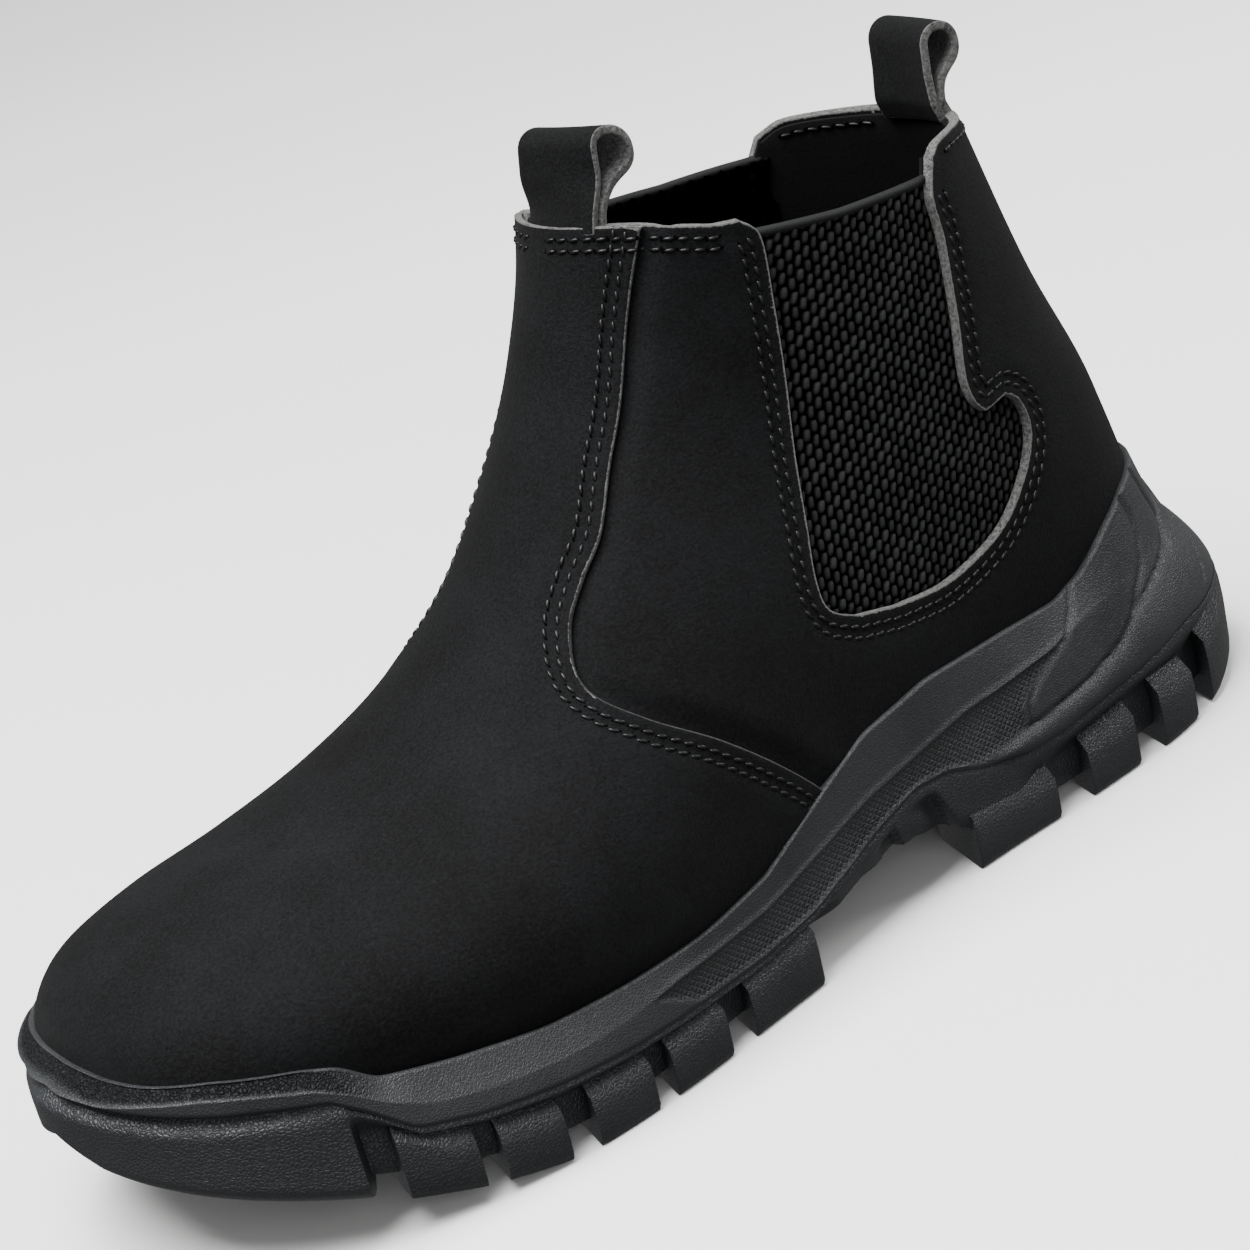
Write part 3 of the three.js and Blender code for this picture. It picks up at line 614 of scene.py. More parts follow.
def thread():
    """Black bonded nylon thread, slightly glossy."""
    material, tree, shader = new_material("black_bonded_nylon_thread")
    where = object_space(tree)
    strands = noise(tree, where, 0.3, 2)
    tree.links.new(ramp(tree, strands, "#020203", "#0a0a0c", 0.3, 0.7), shader.inputs["Base Color"])
    shader.inputs["Roughness"].default_value = 0.4
    shader.inputs["Specular IOR Level"].default_value = 0.3
    relief(tree, shader, [(strands, 0.06)])
    return material


def painted_needle_hole_shade():
    """Painted shade for the punched hole at the end of a stitch: a near-black dome that stands in for the
    shadow inside the hole.
    """
    material, _, shader = new_material("painted_needle_hole_shade")
    shader.inputs["Base Color"].default_value = linear("#020202")
    shader.inputs["Roughness"].default_value = 1.0
    shader.inputs["Specular IOR Level"].default_value = 0.05
    return material


def elastic_webbing():
    """Woven elastic: plump grains of spun black yarn, matt, with painted shade darkening the gaps between
    them.
    """
    material, tree, shader = new_material("black_elastic_webbing")
    where = object_space(tree)
    strands = noise(tree, where, 0.45, 3, 0.7)
    raised = add(tree, "ShaderNodeAttribute", attribute_name="raised").outputs["Fac"]
    # Painted shade: the yarn's colour darkens with depth into the gaps between the raised grains.
    lit = maths(tree, "POWER", raised, 1.6)
    shade = maths(tree, "MULTIPLY", lit, maths(tree, "ADD", maths(tree, "MULTIPLY", strands, 0.8), 0.45))
    tree.links.new(ramp(tree, shade, "#010101", "#18191b", 0.12, 1.0), shader.inputs["Base Color"])
    shader.inputs["Roughness"].default_value = 0.7
    tree.links.new(maths(tree, "MULTIPLY", lit, 0.4), shader.inputs["Specular IOR Level"])
    relief(tree, shader, [(strands, 0.12)])
    return material


def textile():
    """Black brushed polyester lining."""
    material, tree, shader = new_material("black_polyester_lining")
    where = object_space(tree)
    fibres = noise(tree, where, 0.6, 3, 0.7)
    tree.links.new(ramp(tree, fibres, "#030303", "#0d0d0e", 0.3, 0.75), shader.inputs["Base Color"])
    shader.inputs["Roughness"].default_value = 0.95
    shader.inputs["Specular IOR Level"].default_value = 0.15
    relief(tree, shader, [(fibres, 0.2)])
    return material


def moulded_grain(tree, where, millimetres):
    """Height of a moulded leather grain: small flat-topped pebbles with narrow valleys."""
    bent = noise(tree, where, 2.2 * millimetres, 2)
    shift = maths(tree, "MULTIPLY", bent, 0.9 * millimetres * MM)
    moved = add(tree, "ShaderNodeVectorMath", {0: where, 1: shift}, operation="ADD")
    cells = add(
        tree, "ShaderNodeTexVoronoi", {"Vector": moved.outputs[0]}, feature="DISTANCE_TO_EDGE",
        Scale=1 / (millimetres * MM),
    )
    return maths(tree, "MINIMUM", maths(tree, "MULTIPLY", cells.outputs["Distance"], 4.5), 1.0)


KNURL_PITCH = 1.7  # from groove to groove, along the wall


def knurl_height(tree):
    """Height of a diamond knurl laid along the wall: small pyramids with crossing grooves."""
    wall = add(tree, "ShaderNodeUVMap", uv_map="wall")
    split = add(tree, "ShaderNodeSeparateXYZ", {"Vector": wall.outputs["UV"]})
    flanks = []
    for slope in (1.1, -1.1):
        slant = maths(tree, "ADD", split.outputs["X"], maths(tree, "MULTIPLY", split.outputs["Y"], slope))
        wave = maths(tree, "SINE", maths(tree, "MULTIPLY", slant, math.pi / KNURL_PITCH))
        flanks.append(maths(tree, "ABSOLUTE", wave))
    return maths(tree, "MINIMUM", flanks[0], flanks[1])


def polyurethane():
    """Foamed polyurethane, near black, with the mould's fine grain, a coarse dark grain on the toe
    band and a diamond knurl in the side panel."""
    material, tree, shader = new_material("dark_grey_moulded_polyurethane")
    where = object_space(tree)
    tone = noise(tree, where, 18, 2)
    knurl = add(tree, "ShaderNodeAttribute", attribute_name="knurl").outputs["Fac"]
    band = add(tree, "ShaderNodeAttribute", attribute_name="band").outputs["Fac"]
    light = maths(tree, "MULTIPLY", tone, maths(tree, "SUBTRACT", 1.0, maths(tree, "MULTIPLY", band, 0.85)))
    tree.links.new(ramp(tree, light, "#08080a", "#26282a", 0.0, 0.62), shader.inputs["Base Color"])
    shader.inputs["Roughness"].default_value = 0.5
    gloss = maths(tree, "SUBTRACT", 0.42, maths(tree, "MULTIPLY", band, 0.28))
    tree.links.new(gloss, shader.inputs["Specular IOR Level"])
    relief(tree, shader, [
        (moulded_grain(tree, where, 0.65), 0.075),
        (maths(tree, "MULTIPLY", moulded_grain(tree, where, 0.85), band), 0.24),
        (maths(tree, "MULTIPLY", knurl_height(tree), knurl), 0.22),
    ])
    return material


def sole_rubber():
    """Near-black moulded rubber with a leather grain pressed into its faces."""
    material, tree, shader = new_material("dark_grey_moulded_rubber")
    where = object_space(tree)
    tone = noise(tree, where, 22, 2)
    tree.links.new(ramp(tree, tone, "#1a1c1e", "#232528", 0.3, 0.7), shader.inputs["Base Color"])
    shader.inputs["Roughness"].default_value = 0.48
    shader.inputs["Specular IOR Level"].default_value = 0.42
    relief(tree, shader, [(moulded_grain(tree, where, 0.85), 0.11), (noise(tree, where, 0.5, 2), 0.03)])
    return material


def plain(name, dark, light, roughness, metallic=0.0, grain=1.2, depth=0.1):
    """Finish of a piece inside the boot: its colour mottled by its own grain."""
    material, tree, shader = new_material(name)
    where = object_space(tree)
    mottle = noise(tree, where, grain, 3, 0.6)
    tree.links.new(ramp(tree, mottle, dark, light, 0.3, 0.7), shader.inputs["Base Color"])
    shader.inputs["Roughness"].default_value = roughness
    shader.inputs["Metallic"].default_value = metallic
    relief(tree, shader, [(mottle, depth)])
    return material


NUBUCK, SUEDE, THREAD, PAINTED_HOLE_SHADE = nubuck_leather(), flesh_side(), thread(), painted_needle_hole_shade()
EDGE, VAMP_EDGE = raw_edge("raw_cut_leather_edge", -40), raw_edge("leather_edge_darker_low", 72)
WEBBING, TEXTILE, POLYURETHANE, RUBBER = elastic_webbing(), textile(), polyurethane(), sole_rubber()
FOAM_COVER = plain("black_textile_covered_foam", "#101113", "#26282b", 0.9, grain=0.8, depth=0.2)


# ---------------------------------------------------------------------------
# Upper
# ---------------------------------------------------------------------------
def side_rows(line, distances):
    """Pattern rows beside a side-view line."""
    return [pattern(beside(line, distance)) for distance in distances]


def mirror_rows(rows):
    """The same rows on the inner side."""
    return [row * [1, -1] for row in rows]


def vamp_inset(s, turn):
    """The vamp lies flat, is drawn in between its rows of stitching, and swells just behind them."""
    gap = leather_gap(seam_path, s, turn)
    return 0.3 * bump(gap - 3.7, 1.5) - 0.2 * bump(gap - 7.5, 2.5)


def quarter_inset(s, turn):
    """The quarter dips under the vamp's edge, and is drawn in along its own stitching."""
    place = upper_point(s, turn)
    under = inside(vamp_side, place[:, 0], place[:, 2])
    dip = np.where(under, LAP, LAP * (1 - smoothstep(leather_gap(seam_path, s, turn), 0.3, 6.5)))
    gap = leather_gap(cut_path, s, turn)
    return dip + 0.3 * bump(gap - 3.6, 1.5) - 0.2 * bump(gap - 7.2, 2.5)


def leather_inset(s, turn):
    """Depth of whichever leather shows."""
    place = upper_point(s, turn)
    shown = inside(vamp_side, place[:, 0], place[:, 2])
    return np.where(shown, vamp_inset(s, turn), quarter_inset(s, turn))


def build_vamp():
    """The front of the upper in one piece, from the toe up to the top line."""
    seam = pattern(vamp_seam[vamp_seam[:, 1] > 20.3])
    seam = seam[seam[:, 0] < 13.6]
    edge = pattern(top_front[(top_front[:, 0] > 7.3) & (top_front[:, 0] < 17.4)])
    ridge_s = pattern([[7.0, height(TOP_LINE_FRONT, 7.0)]])[0][0]
    foot = seam[-1][0] + 0.15
    left = np.concatenate([[[ridge_s, 0.0]], edge, seam, [[foot, 3.0], [foot, math.pi]]])
    toe = np.stack([np.zeros(60), np.linspace(math.pi, -math.pi, 60)], -1)
    right = (left * [1, -1])[::-1][:-1]
    rows = side_rows(vamp_seam, [-1.2, -2.4, -3.7, -5, -7, -9])
    rows = [row[row[:, 0] < 13.4] for row in rows]
    rows += side_rows(top_front[(top_front[:, 0] > 7.3) & (top_front[:, 0] < 16)], [-1.2])
    made = cut_panel(
        "vamp", np.concatenate([left, toe, right]), rows + mirror_rows(rows), vamp_inset, LAP - 0.1,
        [NUBUCK, VAMP_EDGE], rim_path=worn_vamp_rim,
    )
    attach(made, "boot")
    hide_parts("vamp")


def quarter_outline():
    """Half of the back of the upper, from under the vamp to the back seam, with the gore cut."""
    hidden = beside(vamp_seam, -7)
    hidden = hidden[(hidden[:, 1] > 20.6) & (hidden[:, 1] < height(TOP_LINE_FRONT, hidden[:, 0]))]
    seam = pattern(hidden)[::-1]
    front = pattern(top_front[(top_front[:, 0] > hidden[0][0]) & (top_front[:, 0] < 33)])
    cut = pattern(gore_cut)
    back = pattern(top_back[top_back[:, 0] < 107])
    back_s = pattern([[106.6, height(TOP_LINE_BACK, 106.6)]])[0][0]
    spine = np.stack([np.linspace(back_s, seam[0][0], 80), np.full(80, math.pi)], -1)
    return np.concatenate([seam, front, cut, back, spine])


def build_quarter(name, side):
    """Side and back leather of one side: 1 the outer, -1 the inner."""
    outline = quarter_outline()
    rows = side_rows(vamp_seam, [-3, 0, 1.2, 2.6, 4.2, 6, 8])
    rows += side_rows(gore_cut, [-1.2, -2.4, -3.6, -5, -7])
    rows += side_rows(top_back[top_back[:, 0] < 106], [-1.2])
    rows += side_rows(top_front[top_front[:, 0] > 18], [-1.2])
    if side < 0:
        outline, rows = outline * [1, -1], mirror_rows(rows)
    made = cut_panel(
        name, outline, rows, quarter_inset, LEATHER, [NUBUCK, EDGE], edge_width=0.85,
        rim_path=worn_quarter_rim,
    )
    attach(made, "boot")
    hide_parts(name)


STRIP_HALF = 5.0  # half the width of the back strip


def strip_inset(s, turn):
    """The back strip stands on the quarters' outer face."""
    return np.full(len(s), -1.3)


def build_back_strip():
    """Narrow strip that covers the back seam."""
    s = np.linspace(pattern([[128, 64]])[0][0], pattern([[107.3, 145.6]])[0][0], 60)
    width = catmull_rows(SECTIONS, s)[:, 4]
    power = catmull_rows(SECTIONS, s)[:, 7]
    across = STRIP_HALF / width
    along = (1 - across**power) ** (1 / power)
    turn = np.arctan2(across, -along)
    left = np.stack([s, turn], -1)
    right = np.stack([s, 2 * math.pi - turn], -1)[::-1]
    outline = np.concatenate([left, right])
    made = cut_panel("back_strip", outline, [], strip_inset, 1.2, [NUBUCK, EDGE], 2.0, 0.4)
    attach(made, "boot")
    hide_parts("back_strip")


def lining_inset(s, turn):
    """The lining leaves room for the steel cap at the toe and the counter round the heel."""
    place = upper_point(s, turn)
    x, z = place[:, 0], place[:, 2]
    toe = 1 - smoothstep(x, -68, -54)
    heel = smoothstep(x, 26, 46) * (1 - smoothstep(z, 94, 112))
    return 2.5 + 2.1 * toe + 1.7 * heel


def build_lining():
    """Textile lining of each half, open behind the elastic."""
    front = pattern(beside(top_front, -0.8)[1:])
    front = front[front[:, 1] > 0.05]
    ridge_s = pattern([[8.0, 156.2]])[0][0]
    back = pattern(beside(top_back[top_back[:, 0] < 107], -0.8))
    back_s = pattern([[106.4, height(TOP_LINE_BACK, 106.4) - 0.8]])[0][0]
    base = np.stack([np.linspace(back_s, 3, 60), np.full(60, math.pi)], -1)
    outline = np.concatenate([[[3, 0.0], [ridge_s, 0.0]], front, pattern(gore_cut), back, base])
    pieces = [
        cut_panel(f"lining_{side}", outline * [1, side], [], lining_inset, 0.9, [TEXTILE], 3.6)
        for side in (1, -1)
    ]
    made = join("linings", pieces)
    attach(made, "boot")
    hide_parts("vamp_lining", "quarter_lining_left", "quarter_lining_right")


RIB_PITCH = 2.05  # from one column of the weave to the next
GRAIN_PITCH = 2.9  # from one grain to the next along a column
GRAIN_HEIGHT = 0.95
RIB_LEAN = np.array([-0.158, -0.987])  # the columns run down along the front edge of the cut


def weave(along, across):
    """Height, 0 to 1, of plump grains of yarn, each column half a grain out of step with the last."""
    column = np.floor(across)
    off = across - column - 0.5
    step = along + 0.5 * (column % 2)
    row = np.floor(step)
    way = step - row - 0.5
    chance = np.sin(column * 12.9898 + row * 78.233) * 43758.5453
    chance -= np.floor(chance)
    tilt = off + (0.18 + 0.24 * chance) * way
    plump = np.sqrt(np.clip(1 - (tilt / (0.4 + 0.07 * chance)) ** 2 - np.abs(way / 0.5) ** 3, 0, 1))
    return plump * (0.82 + 0.18 * chance)


def build_gore(name, side):
    """Elastic side panel, with its rolled hem along the top."""
    first, last = 28, 108
    across = np.arange(first, last, RIB_PITCH / 7)
    down = np.arange(0.0, 92, GRAIN_PITCH / 8)
    start = np.stack([across, height(GORE_TOP_LINE, across)], -1)
    flat = (start[None] + down[:, None, None] * RIB_LEAN).reshape(-1, 2)
    sway = 0.06 * np.sin(down[:, None] * 0.9 + across[None] * 0.7)
    raised = weave(down[:, None] / GRAIN_PITCH, (across[None] - first) / RIB_PITCH + sway).ravel()
    closed = np.concatenate([gore_cut, [[83.5, 160], [33.5, 160]]])
    border = distance_to(np.concatenate([closed, closed[:1]]), flat)
    within = inside(closed, flat[:, 0], flat[:, 1])
    shown = within | (border < 4)
    laid = pattern(flat)
    inset = 2.6 - GRAIN_HEIGHT * raised
    inset += np.where(within, 0.4 * (1 - smoothstep(border, 0, 1.5)), 0.6)
    place = on_upper(laid[:, 0], laid[:, 1] * side, inset)
    faces = [f for f in grid_faces(len(down), len(across), False) if all(shown[list(f)])]
    used = sorted({i for f in faces for i in f})
    index = {old: new for new, old in enumerate(used)}
    made = add_object(name, place[used], [tuple(index[i] for i in f) for f in faces], [WEBBING])
    store(made, "raised", raised[used])
    point_outwards(made)
    apply(made, "SOLIDIFY", thickness=1.3 * MM, offset=-1)
    way = np.linspace(34, 83, 90)
    laid = pattern(np.stack([way, height(GORE_TOP_LINE, way)], -1))
    path = on_upper(laid[:, 0], laid[:, 1] * side, np.full(len(laid), 2.6))
    hem = sweep(f"{name}_hem", path, 1.05, WEBBING)
    store(hem, "raised", np.full(len(hem.data.vertices), 0.75))
    made = join(name, [made, hem])
    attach(made, "boot")
    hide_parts(name)


def sweep(name, path, radius, material, sides=10):
    """Round tube along a path, closed flat at its ends."""
    tangent = np.gradient(path, axis=0)
    tangent /= np.linalg.norm(tangent, axis=1, keepdims=True)
    side = np.cross(tangent, [0, 0, 1.0])
    side /= np.linalg.norm(side, axis=1, keepdims=True)
    up = np.cross(side, tangent)
    angle = np.linspace(0, 2 * math.pi, sides, endpoint=False)
    rings = [
        path[i] + radius * (np.cos(angle)[:, None] * side[i] + np.sin(angle)[:, None] * up[i])
        for i in range(len(path))
    ]
    points = np.concatenate(rings)
    faces = grid_faces(len(path), sides, True)
    faces += [tuple(range(sides))[::-1], tuple(len(points) - sides + i for i in range(sides))]
    made = add_object(name, points, faces, [material])
    merge_doubles(made)
    return made


# ---------------------------------------------------------------------------
# Stitching
# ---------------------------------------------------------------------------
STITCH_STEP = 3.0
STITCH_LENGTH = 2.35
STITCH_SLANT = 0.14
THREAD_RADIUS = 0.45
HOLE_RADIUS = 0.55
HOLE_CORNERS = 6
STITCH_DEPTH = 0.12  # of the thread's centre under the leather's face
LINING_DEPTH = 3.6  # where the same thread shows on the lining, inside the collar


def stitch_shape():
    """One stitch along X, as points, faces and each face's material: a short rounded thread bowed
    up at its middle, and a shallow near-black dome at each end, painted shade for the needle hole."""
    rings, sides = 5, 8
    fall = np.linspace(0, math.pi, rings + 2)[1:-1, None]
    turn = np.linspace(0, 2 * math.pi, sides, endpoint=False)
    ball = np.broadcast_arrays(np.cos(fall), np.sin(fall) * np.cos(turn), np.sin(fall) * np.sin(turn))
    points = np.concatenate([np.stack(ball, -1).reshape(-1, 3), [[1, 0, 0], [-1, 0, 0]]])
    faces = [face[::-1] for face in grid_faces(rings, sides, True)]
    head, tail, last = rings * sides, rings * sides + 1, (rings - 1) * sides
    faces += [(head, i, (i + 1) % sides) for i in range(sides)]
    faces += [(tail, last + (i + 1) % sides, last + i) for i in range(sides)]
    half = STITCH_LENGTH / 2
    points = np.sign(points) * np.abs(points) ** [0.75, 1, 1] * [half, THREAD_RADIUS, THREAD_RADIUS]
    points[:, 2] += 0.14 * (1 - (points[:, 0] / half) ** 2)
    slots = [0] * len(faces)
    # Painted shade: a near-black dome at each end of the stitch stands for the shadow in the needle hole.
    angle = np.linspace(0, 2 * math.pi, HOLE_CORNERS, endpoint=False)
    rim = np.stack([np.cos(angle), np.sin(angle), np.zeros(HOLE_CORNERS)], -1) * HOLE_RADIUS
    dome = np.concatenate([[[0, 0, 0.16]], rim])
    for end in (-1, 1):
        top = len(points)
        points = np.concatenate([points, dome + [end * (half + 0.12), 0, 0]])
        faces += [(top, top + 1 + i, top + 1 + (i + 1) % HOLE_CORNERS) for i in range(HOLE_CORNERS)]
        slots += [1] * HOLE_CORNERS
    return points, faces, slots


def stitch_row(path, normals, points):
    """The shape's points repeated along a path, each time in the frame of its leather's normal."""
    length = way_along(path)
    at = np.arange(0.5 * STITCH_STEP, length[-1] - 0.3 * STITCH_STEP, STITCH_STEP)
    centre, normal, ahead, behind = [
        np.stack([np.interp(at + shift, length, c) for c in source.T], -1)
        for source, shift in ((path, 0), (normals, 0), (path, 0.6), (path, -0.6))
    ]
    tangent = ahead - behind
    tangent /= np.linalg.norm(tangent, axis=1, keepdims=True)
    across = np.cross(normal, tangent)
    across /= np.linalg.norm(across, axis=1, keepdims=True)
    up = np.cross(tangent, across)
    placed = (
        centre[:, None]
        + points[None, :, :1] * (tangent + STITCH_SLANT * across)[:, None]
        + points[None, :, 1:2] * across[:, None]
        + points[None, :, 2:] * up[:, None]
    )
    return placed.reshape(-1, 3)


def seam_rows():
    """Every row of stitching: side-view line, side, and depth of the thread's centre."""
    rows = []
    shown = vamp_seam[(vamp_seam[:, 1] > 27) & (vamp_seam[:, 1] < 155)]
    cut = gore_cut[3:-4]
    collar_front = smooth(TOP_LINE_FRONT, 0.4)
    collar_front = collar_front[collar_front[:, 0] > 6.4]
    collar_back = top_back[top_back[:, 0] < 105.5]
    for side in (1, -1):
        rows += [(beside(shown, -gap), side, STITCH_DEPTH) for gap in (2.6, 4.8)]
        rows += [(beside(cut, -gap), side, STITCH_DEPTH) for gap in (2.5, 4.7)]
        for depth in (STITCH_DEPTH, LINING_DEPTH):
            rows += [(beside(collar_front, -gap)[:-8], side, depth) for gap in (2.5, 4.8)]
            rows.append((beside(collar_back, -2.6)[3:], side, depth))
    return rows


def build_stitching():
    """Lockstitched rows beside the seams, the elastic panels and the collar."""
    shape, shape_faces, shape_slots = stitch_shape()
    points, faces, slots = [], [], []
    count = 0
    for line, side, depth in seam_rows():
        s, turn = (pattern(resample(line, 0.25)) * [1, side]).T
        inset = np.full(len(s), depth)
        if depth == STITCH_DEPTH:
            inset += leather_inset(s, turn)
        row = stitch_row(on_upper(s, turn, inset), upper_normal(s, turn), shape)
        for first in range(count, count + len(row), len(shape)):
            faces += [tuple(i + first for i in face) for face in shape_faces]
            slots += shape_slots
        points.append(row)
        count += len(row)
    made = add_object("stitching", np.concatenate(points), faces, [THREAD, PAINTED_HOLE_SHADE])
    made.data.polygons.foreach_set("material_index", slots)
    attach(made, "boot")


# ---------------------------------------------------------------------------
# Pull tabs
# ---------------------------------------------------------------------------
STRAP = 1.9  # thickness of the strap
STRAP_WIDTH = 19.4
TAB_HEIGHT = 17  # above the hinge
TAB_BULGE = 8.4  # depth of the loop
SEWN_END = 4.5  # length of strap sewn in under the top line


def bezier(corners, count):
    """Points on a cubic curve."""
    a, b, c, d = np.array(corners, float)
    t = np.linspace(0, 1, count)[:, None]
    return (1 - t) ** 3 * a + 3 * (1 - t) ** 2 * t * b + 3 * (1 - t) * t**2 * c + t**3 * d


def sewn_length(start, lean):
    """The strap's path under the seam, from the seam down."""
    down = np.linspace(1, SEWN_END, 5)
    return np.stack([start[0] - down * math.sin(lean), start[1] - down * math.cos(lean)], -1)


def loop_path(lean, sewn_lean):
    """Side view of the strap: up from the seam, over in a soft loop, and back down."""
    half = STRAP / 2
    near = half + 0.08
    crown = TAB_HEIGHT - half + 1.2
    out = TAB_BULGE - half
    rise = np.array([[-near, z] for z in np.linspace(0, TAB_HEIGHT - 4.5, 10)])
    over = bezier([rise[-1], [-near, crown], [out, crown], [out, TAB_HEIGHT - 6]], 16)[1:]
    fall = bezier([over[-1], [out, TAB_HEIGHT - 11], [half + 0.6, 8], [near, 0]], 14)[1:]
    centre = np.concatenate([rise, over, fall])
    angle = math.radians(lean)
    turned = np.stack([
        centre[:, 0] * math.cos(angle) + centre[:, 1] * math.sin(angle),
        centre[:, 1] * math.cos(angle) - centre[:, 0] * math.sin(angle),
    ], -1)
    sink = math.radians(sewn_lean)
    ends = sewn_length(turned[0], sink)[::-1], sewn_length(turned[-1], sink)
    return resample(np.concatenate([ends[0], turned, ends[1]]), 0.8)


def build_tab(name, joint, lean, sewn_lean, wrap, shift, twist):
    """A folded strap, shifted to one side. It bends round the collar's curve, wrap, where it is
    sewn in, and stands twisted by an angle above that."""
    path = loop_path(lean, sewn_lean)
    hinge = np.array(joints[joint]["pos_m"]) / MM
    across = np.linspace(-0.5, 0.5, 13)
    points = []
    for x, z in path:
        bend = wrap * (1 - 0.7 * smoothstep(z, 0, TAB_HEIGHT))
        turned = math.radians(twist) * smoothstep(z, -1, 8)
        way = np.array([-math.sin(turned), math.cos(turned)])
        for y in across:
            side_x, side_y = way * y * STRAP_WIDTH
            points.append(hinge + [x + bend * (side_y + shift) ** 2 + side_x, side_y + shift, z])
    faces = grid_faces(len(path), len(across), False)
    made = add_object(name, points, faces, [NUBUCK, SUEDE, EDGE])
    mesh = made.data
    rising = mesh.polygons[len(mesh.polygons) // 8]
    if rising.normal.x > 0:  # the dyed face of the rising ply looks to the toe
        mesh.flip_normals()
    apply(made, "SOLIDIFY", thickness=STRAP * MM, offset=0, material_offset=1, material_offset_rim=2)
    round_edges(made, 0.3, 55, 2)
    soften(made, 50)
    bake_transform(made)
    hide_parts(name)


# ---------------------------------------------------------------------------
# Sole
# ---------------------------------------------------------------------------
STATIONS = 1000  # points round the sole's wall


def plan_curve(points, count):
    """Evenly spaced points on a closed centripetal curve through points."""
    keys = np.array(points, float)
    parts = []
    for i in range(len(keys)):
        p0, p1, p2, p3 = (keys[(i + k) % len(keys)] for k in (-1, 0, 1, 2))
        d0, d1, d2 = (math.sqrt(np.linalg.norm(b - a)) for a, b in ((p0, p1), (p1, p2), (p2, p3)))
        m1 = ((p1 - p0) / d0 - (p2 - p0) / (d0 + d1) + (p2 - p1) / d1) * d1
        m2 = ((p2 - p1) / d1 - (p3 - p1) / (d1 + d2) + (p3 - p2) / d2) * d1
        t = np.linspace(0, 1, 60, endpoint=False)[:, None]
        square = -3 * p1 + 3 * p2 - 2 * m1 - m2
        cube = 2 * p1 - 2 * p2 + m1 + m2
        parts.append(p1 + m1 * t + square * t**2 + cube * t**3)
    line = np.concatenate(parts + [keys[:1]])
    length = way_along(line)
    at = np.linspace(0, length[-1], count, endpoint=False)
    return np.stack([np.interp(at, length, column) for column in line.T], -1), at, length[-1]


plan, plan_length, plan_total = plan_curve(SOLE_PLAN, STATIONS)
plan_normal = np.roll(plan, -1, axis=0) - np.roll(plan, 1, axis=0)
plan_normal = np.stack([plan_normal[:, 1], -plan_normal[:, 0]], -1)
plan_normal /= np.linalg.norm(plan_normal, axis=1, keepdims=True)
heel_tip = int(np.argmax(plan[:, 0]))
half_length = plan_length[heel_tip]
# Way along the wall from the toe tip to the heel tip, the same on both sides of the boot.
way_back = (plan_total - plan_length) * half_length / (plan_total - half_length)
station = np.where(plan_length <= half_length, plan_length, way_back)


def along_wall(line):
    """A side-view line x, z with x turned into the way along the wall."""
    points = np.array(line, float)
    x = np.maximum.accumulate(plan[: heel_tip + 1, 0])
    way = np.interp(points[:, 0], x + np.arange(len(x)) * TINY, plan_length[: heel_tip + 1])
    return np.stack([way, points[:, 1]], -1)


def wall_height(line, blur=1.5):
    """Height of a side-view line at every station, with its corners eased."""
    points = along_wall(line)
    return eased(np.interp(station, points[:, 0], points[:, 1]), 1.4 * blur, int(4 * blur))


def upper_tree():
    """The upper as a mesh that rays can hit."""
    s, turn = np.meshgrid(np.linspace(0, TOP, 141), np.linspace(-math.pi, math.pi, 181), indexing="ij")
    points = upper_point(s, turn).reshape(-1, 3)
    return BVHTree.FromPolygons([tuple(p) for p in points], grid_faces(141, 181, False))


def edge_of_sole():
    """Height of the sole's edge and how far the upper lies inside the plan there, by station."""
    tree = upper_tree()
    line = np.array(SOLE_TOP)
    rims, depths = [], []
    for (x, y), (nx, ny) in zip(plan, plan_normal):
        rim, depth = height(line, x), 0.0
        for _ in range(6):
            hit = tree.ray_cast(Vector((x, y, rim)), Vector((-nx, -ny, 0)))
            depth = hit[3] if hit[0] is not None else 0.0
            rim = height(line, x - nx * depth)
        rims.append(rim)
        depths.append(depth)
    return eased(rims, 2.6, 5), eased(depths, 2.6, 5)


rim_height, rim_depth = edge_of_sole()
lean_in = np.maximum(rim_depth - LIP, 0)
belt = wall_height(PARTING)
knee = np.clip(wall_height(KNEE), belt + 1.5, rim_height - 1.2)
wall_x = plan[:, 0]
knee_share = np.interp(wall_x, [-116, -100, -50, 60, 85, 110], [0.04, 0.2, 0.28, 0.34, 0.46, 0.62])


def wall_place(inwards, z):
    """Points of the wall, from rows of how far inwards and how high each one is."""
    x = plan[None, :, 0] - plan_normal[None, :, 0] * inwards
    y = plan[None, :, 1] - plan_normal[None, :, 1] * inwards
    return np.stack([x, y, z], -1).reshape(-1, 3)


def line_gap(line, way, z):
    """Distance of wall points from a sculpted line."""
    points = resample(along_wall(line), 1.0)
    return distance_to(points, np.stack([way.ravel(), z.ravel()], -1)).reshape(z.shape)


def behind_pillar(way, z):
    """How far wall points lie behind the front edge of the heel cup."""
    pillar = along_wall(PILLAR)[::-1]
    return way - np.interp(z, pillar[:, 1], pillar[:, 0])


def panel_mask(way, z, x):
    """1 in the knurled panel, which runs in a point towards the toe and ends at the heel cup."""
    tip = -48 + (22 - z) * 1.7
    front = smoothstep(x, tip, tip + 1.5)
    rear = 1 - smoothstep(behind_pillar(way, z), -2.4, -1.4)
    low = smoothstep(z, belt + 0.9, belt + 1.7)
    high = 1 - smoothstep(z, knee - 1.0, knee - 0.3)
    return front * rear * low * high


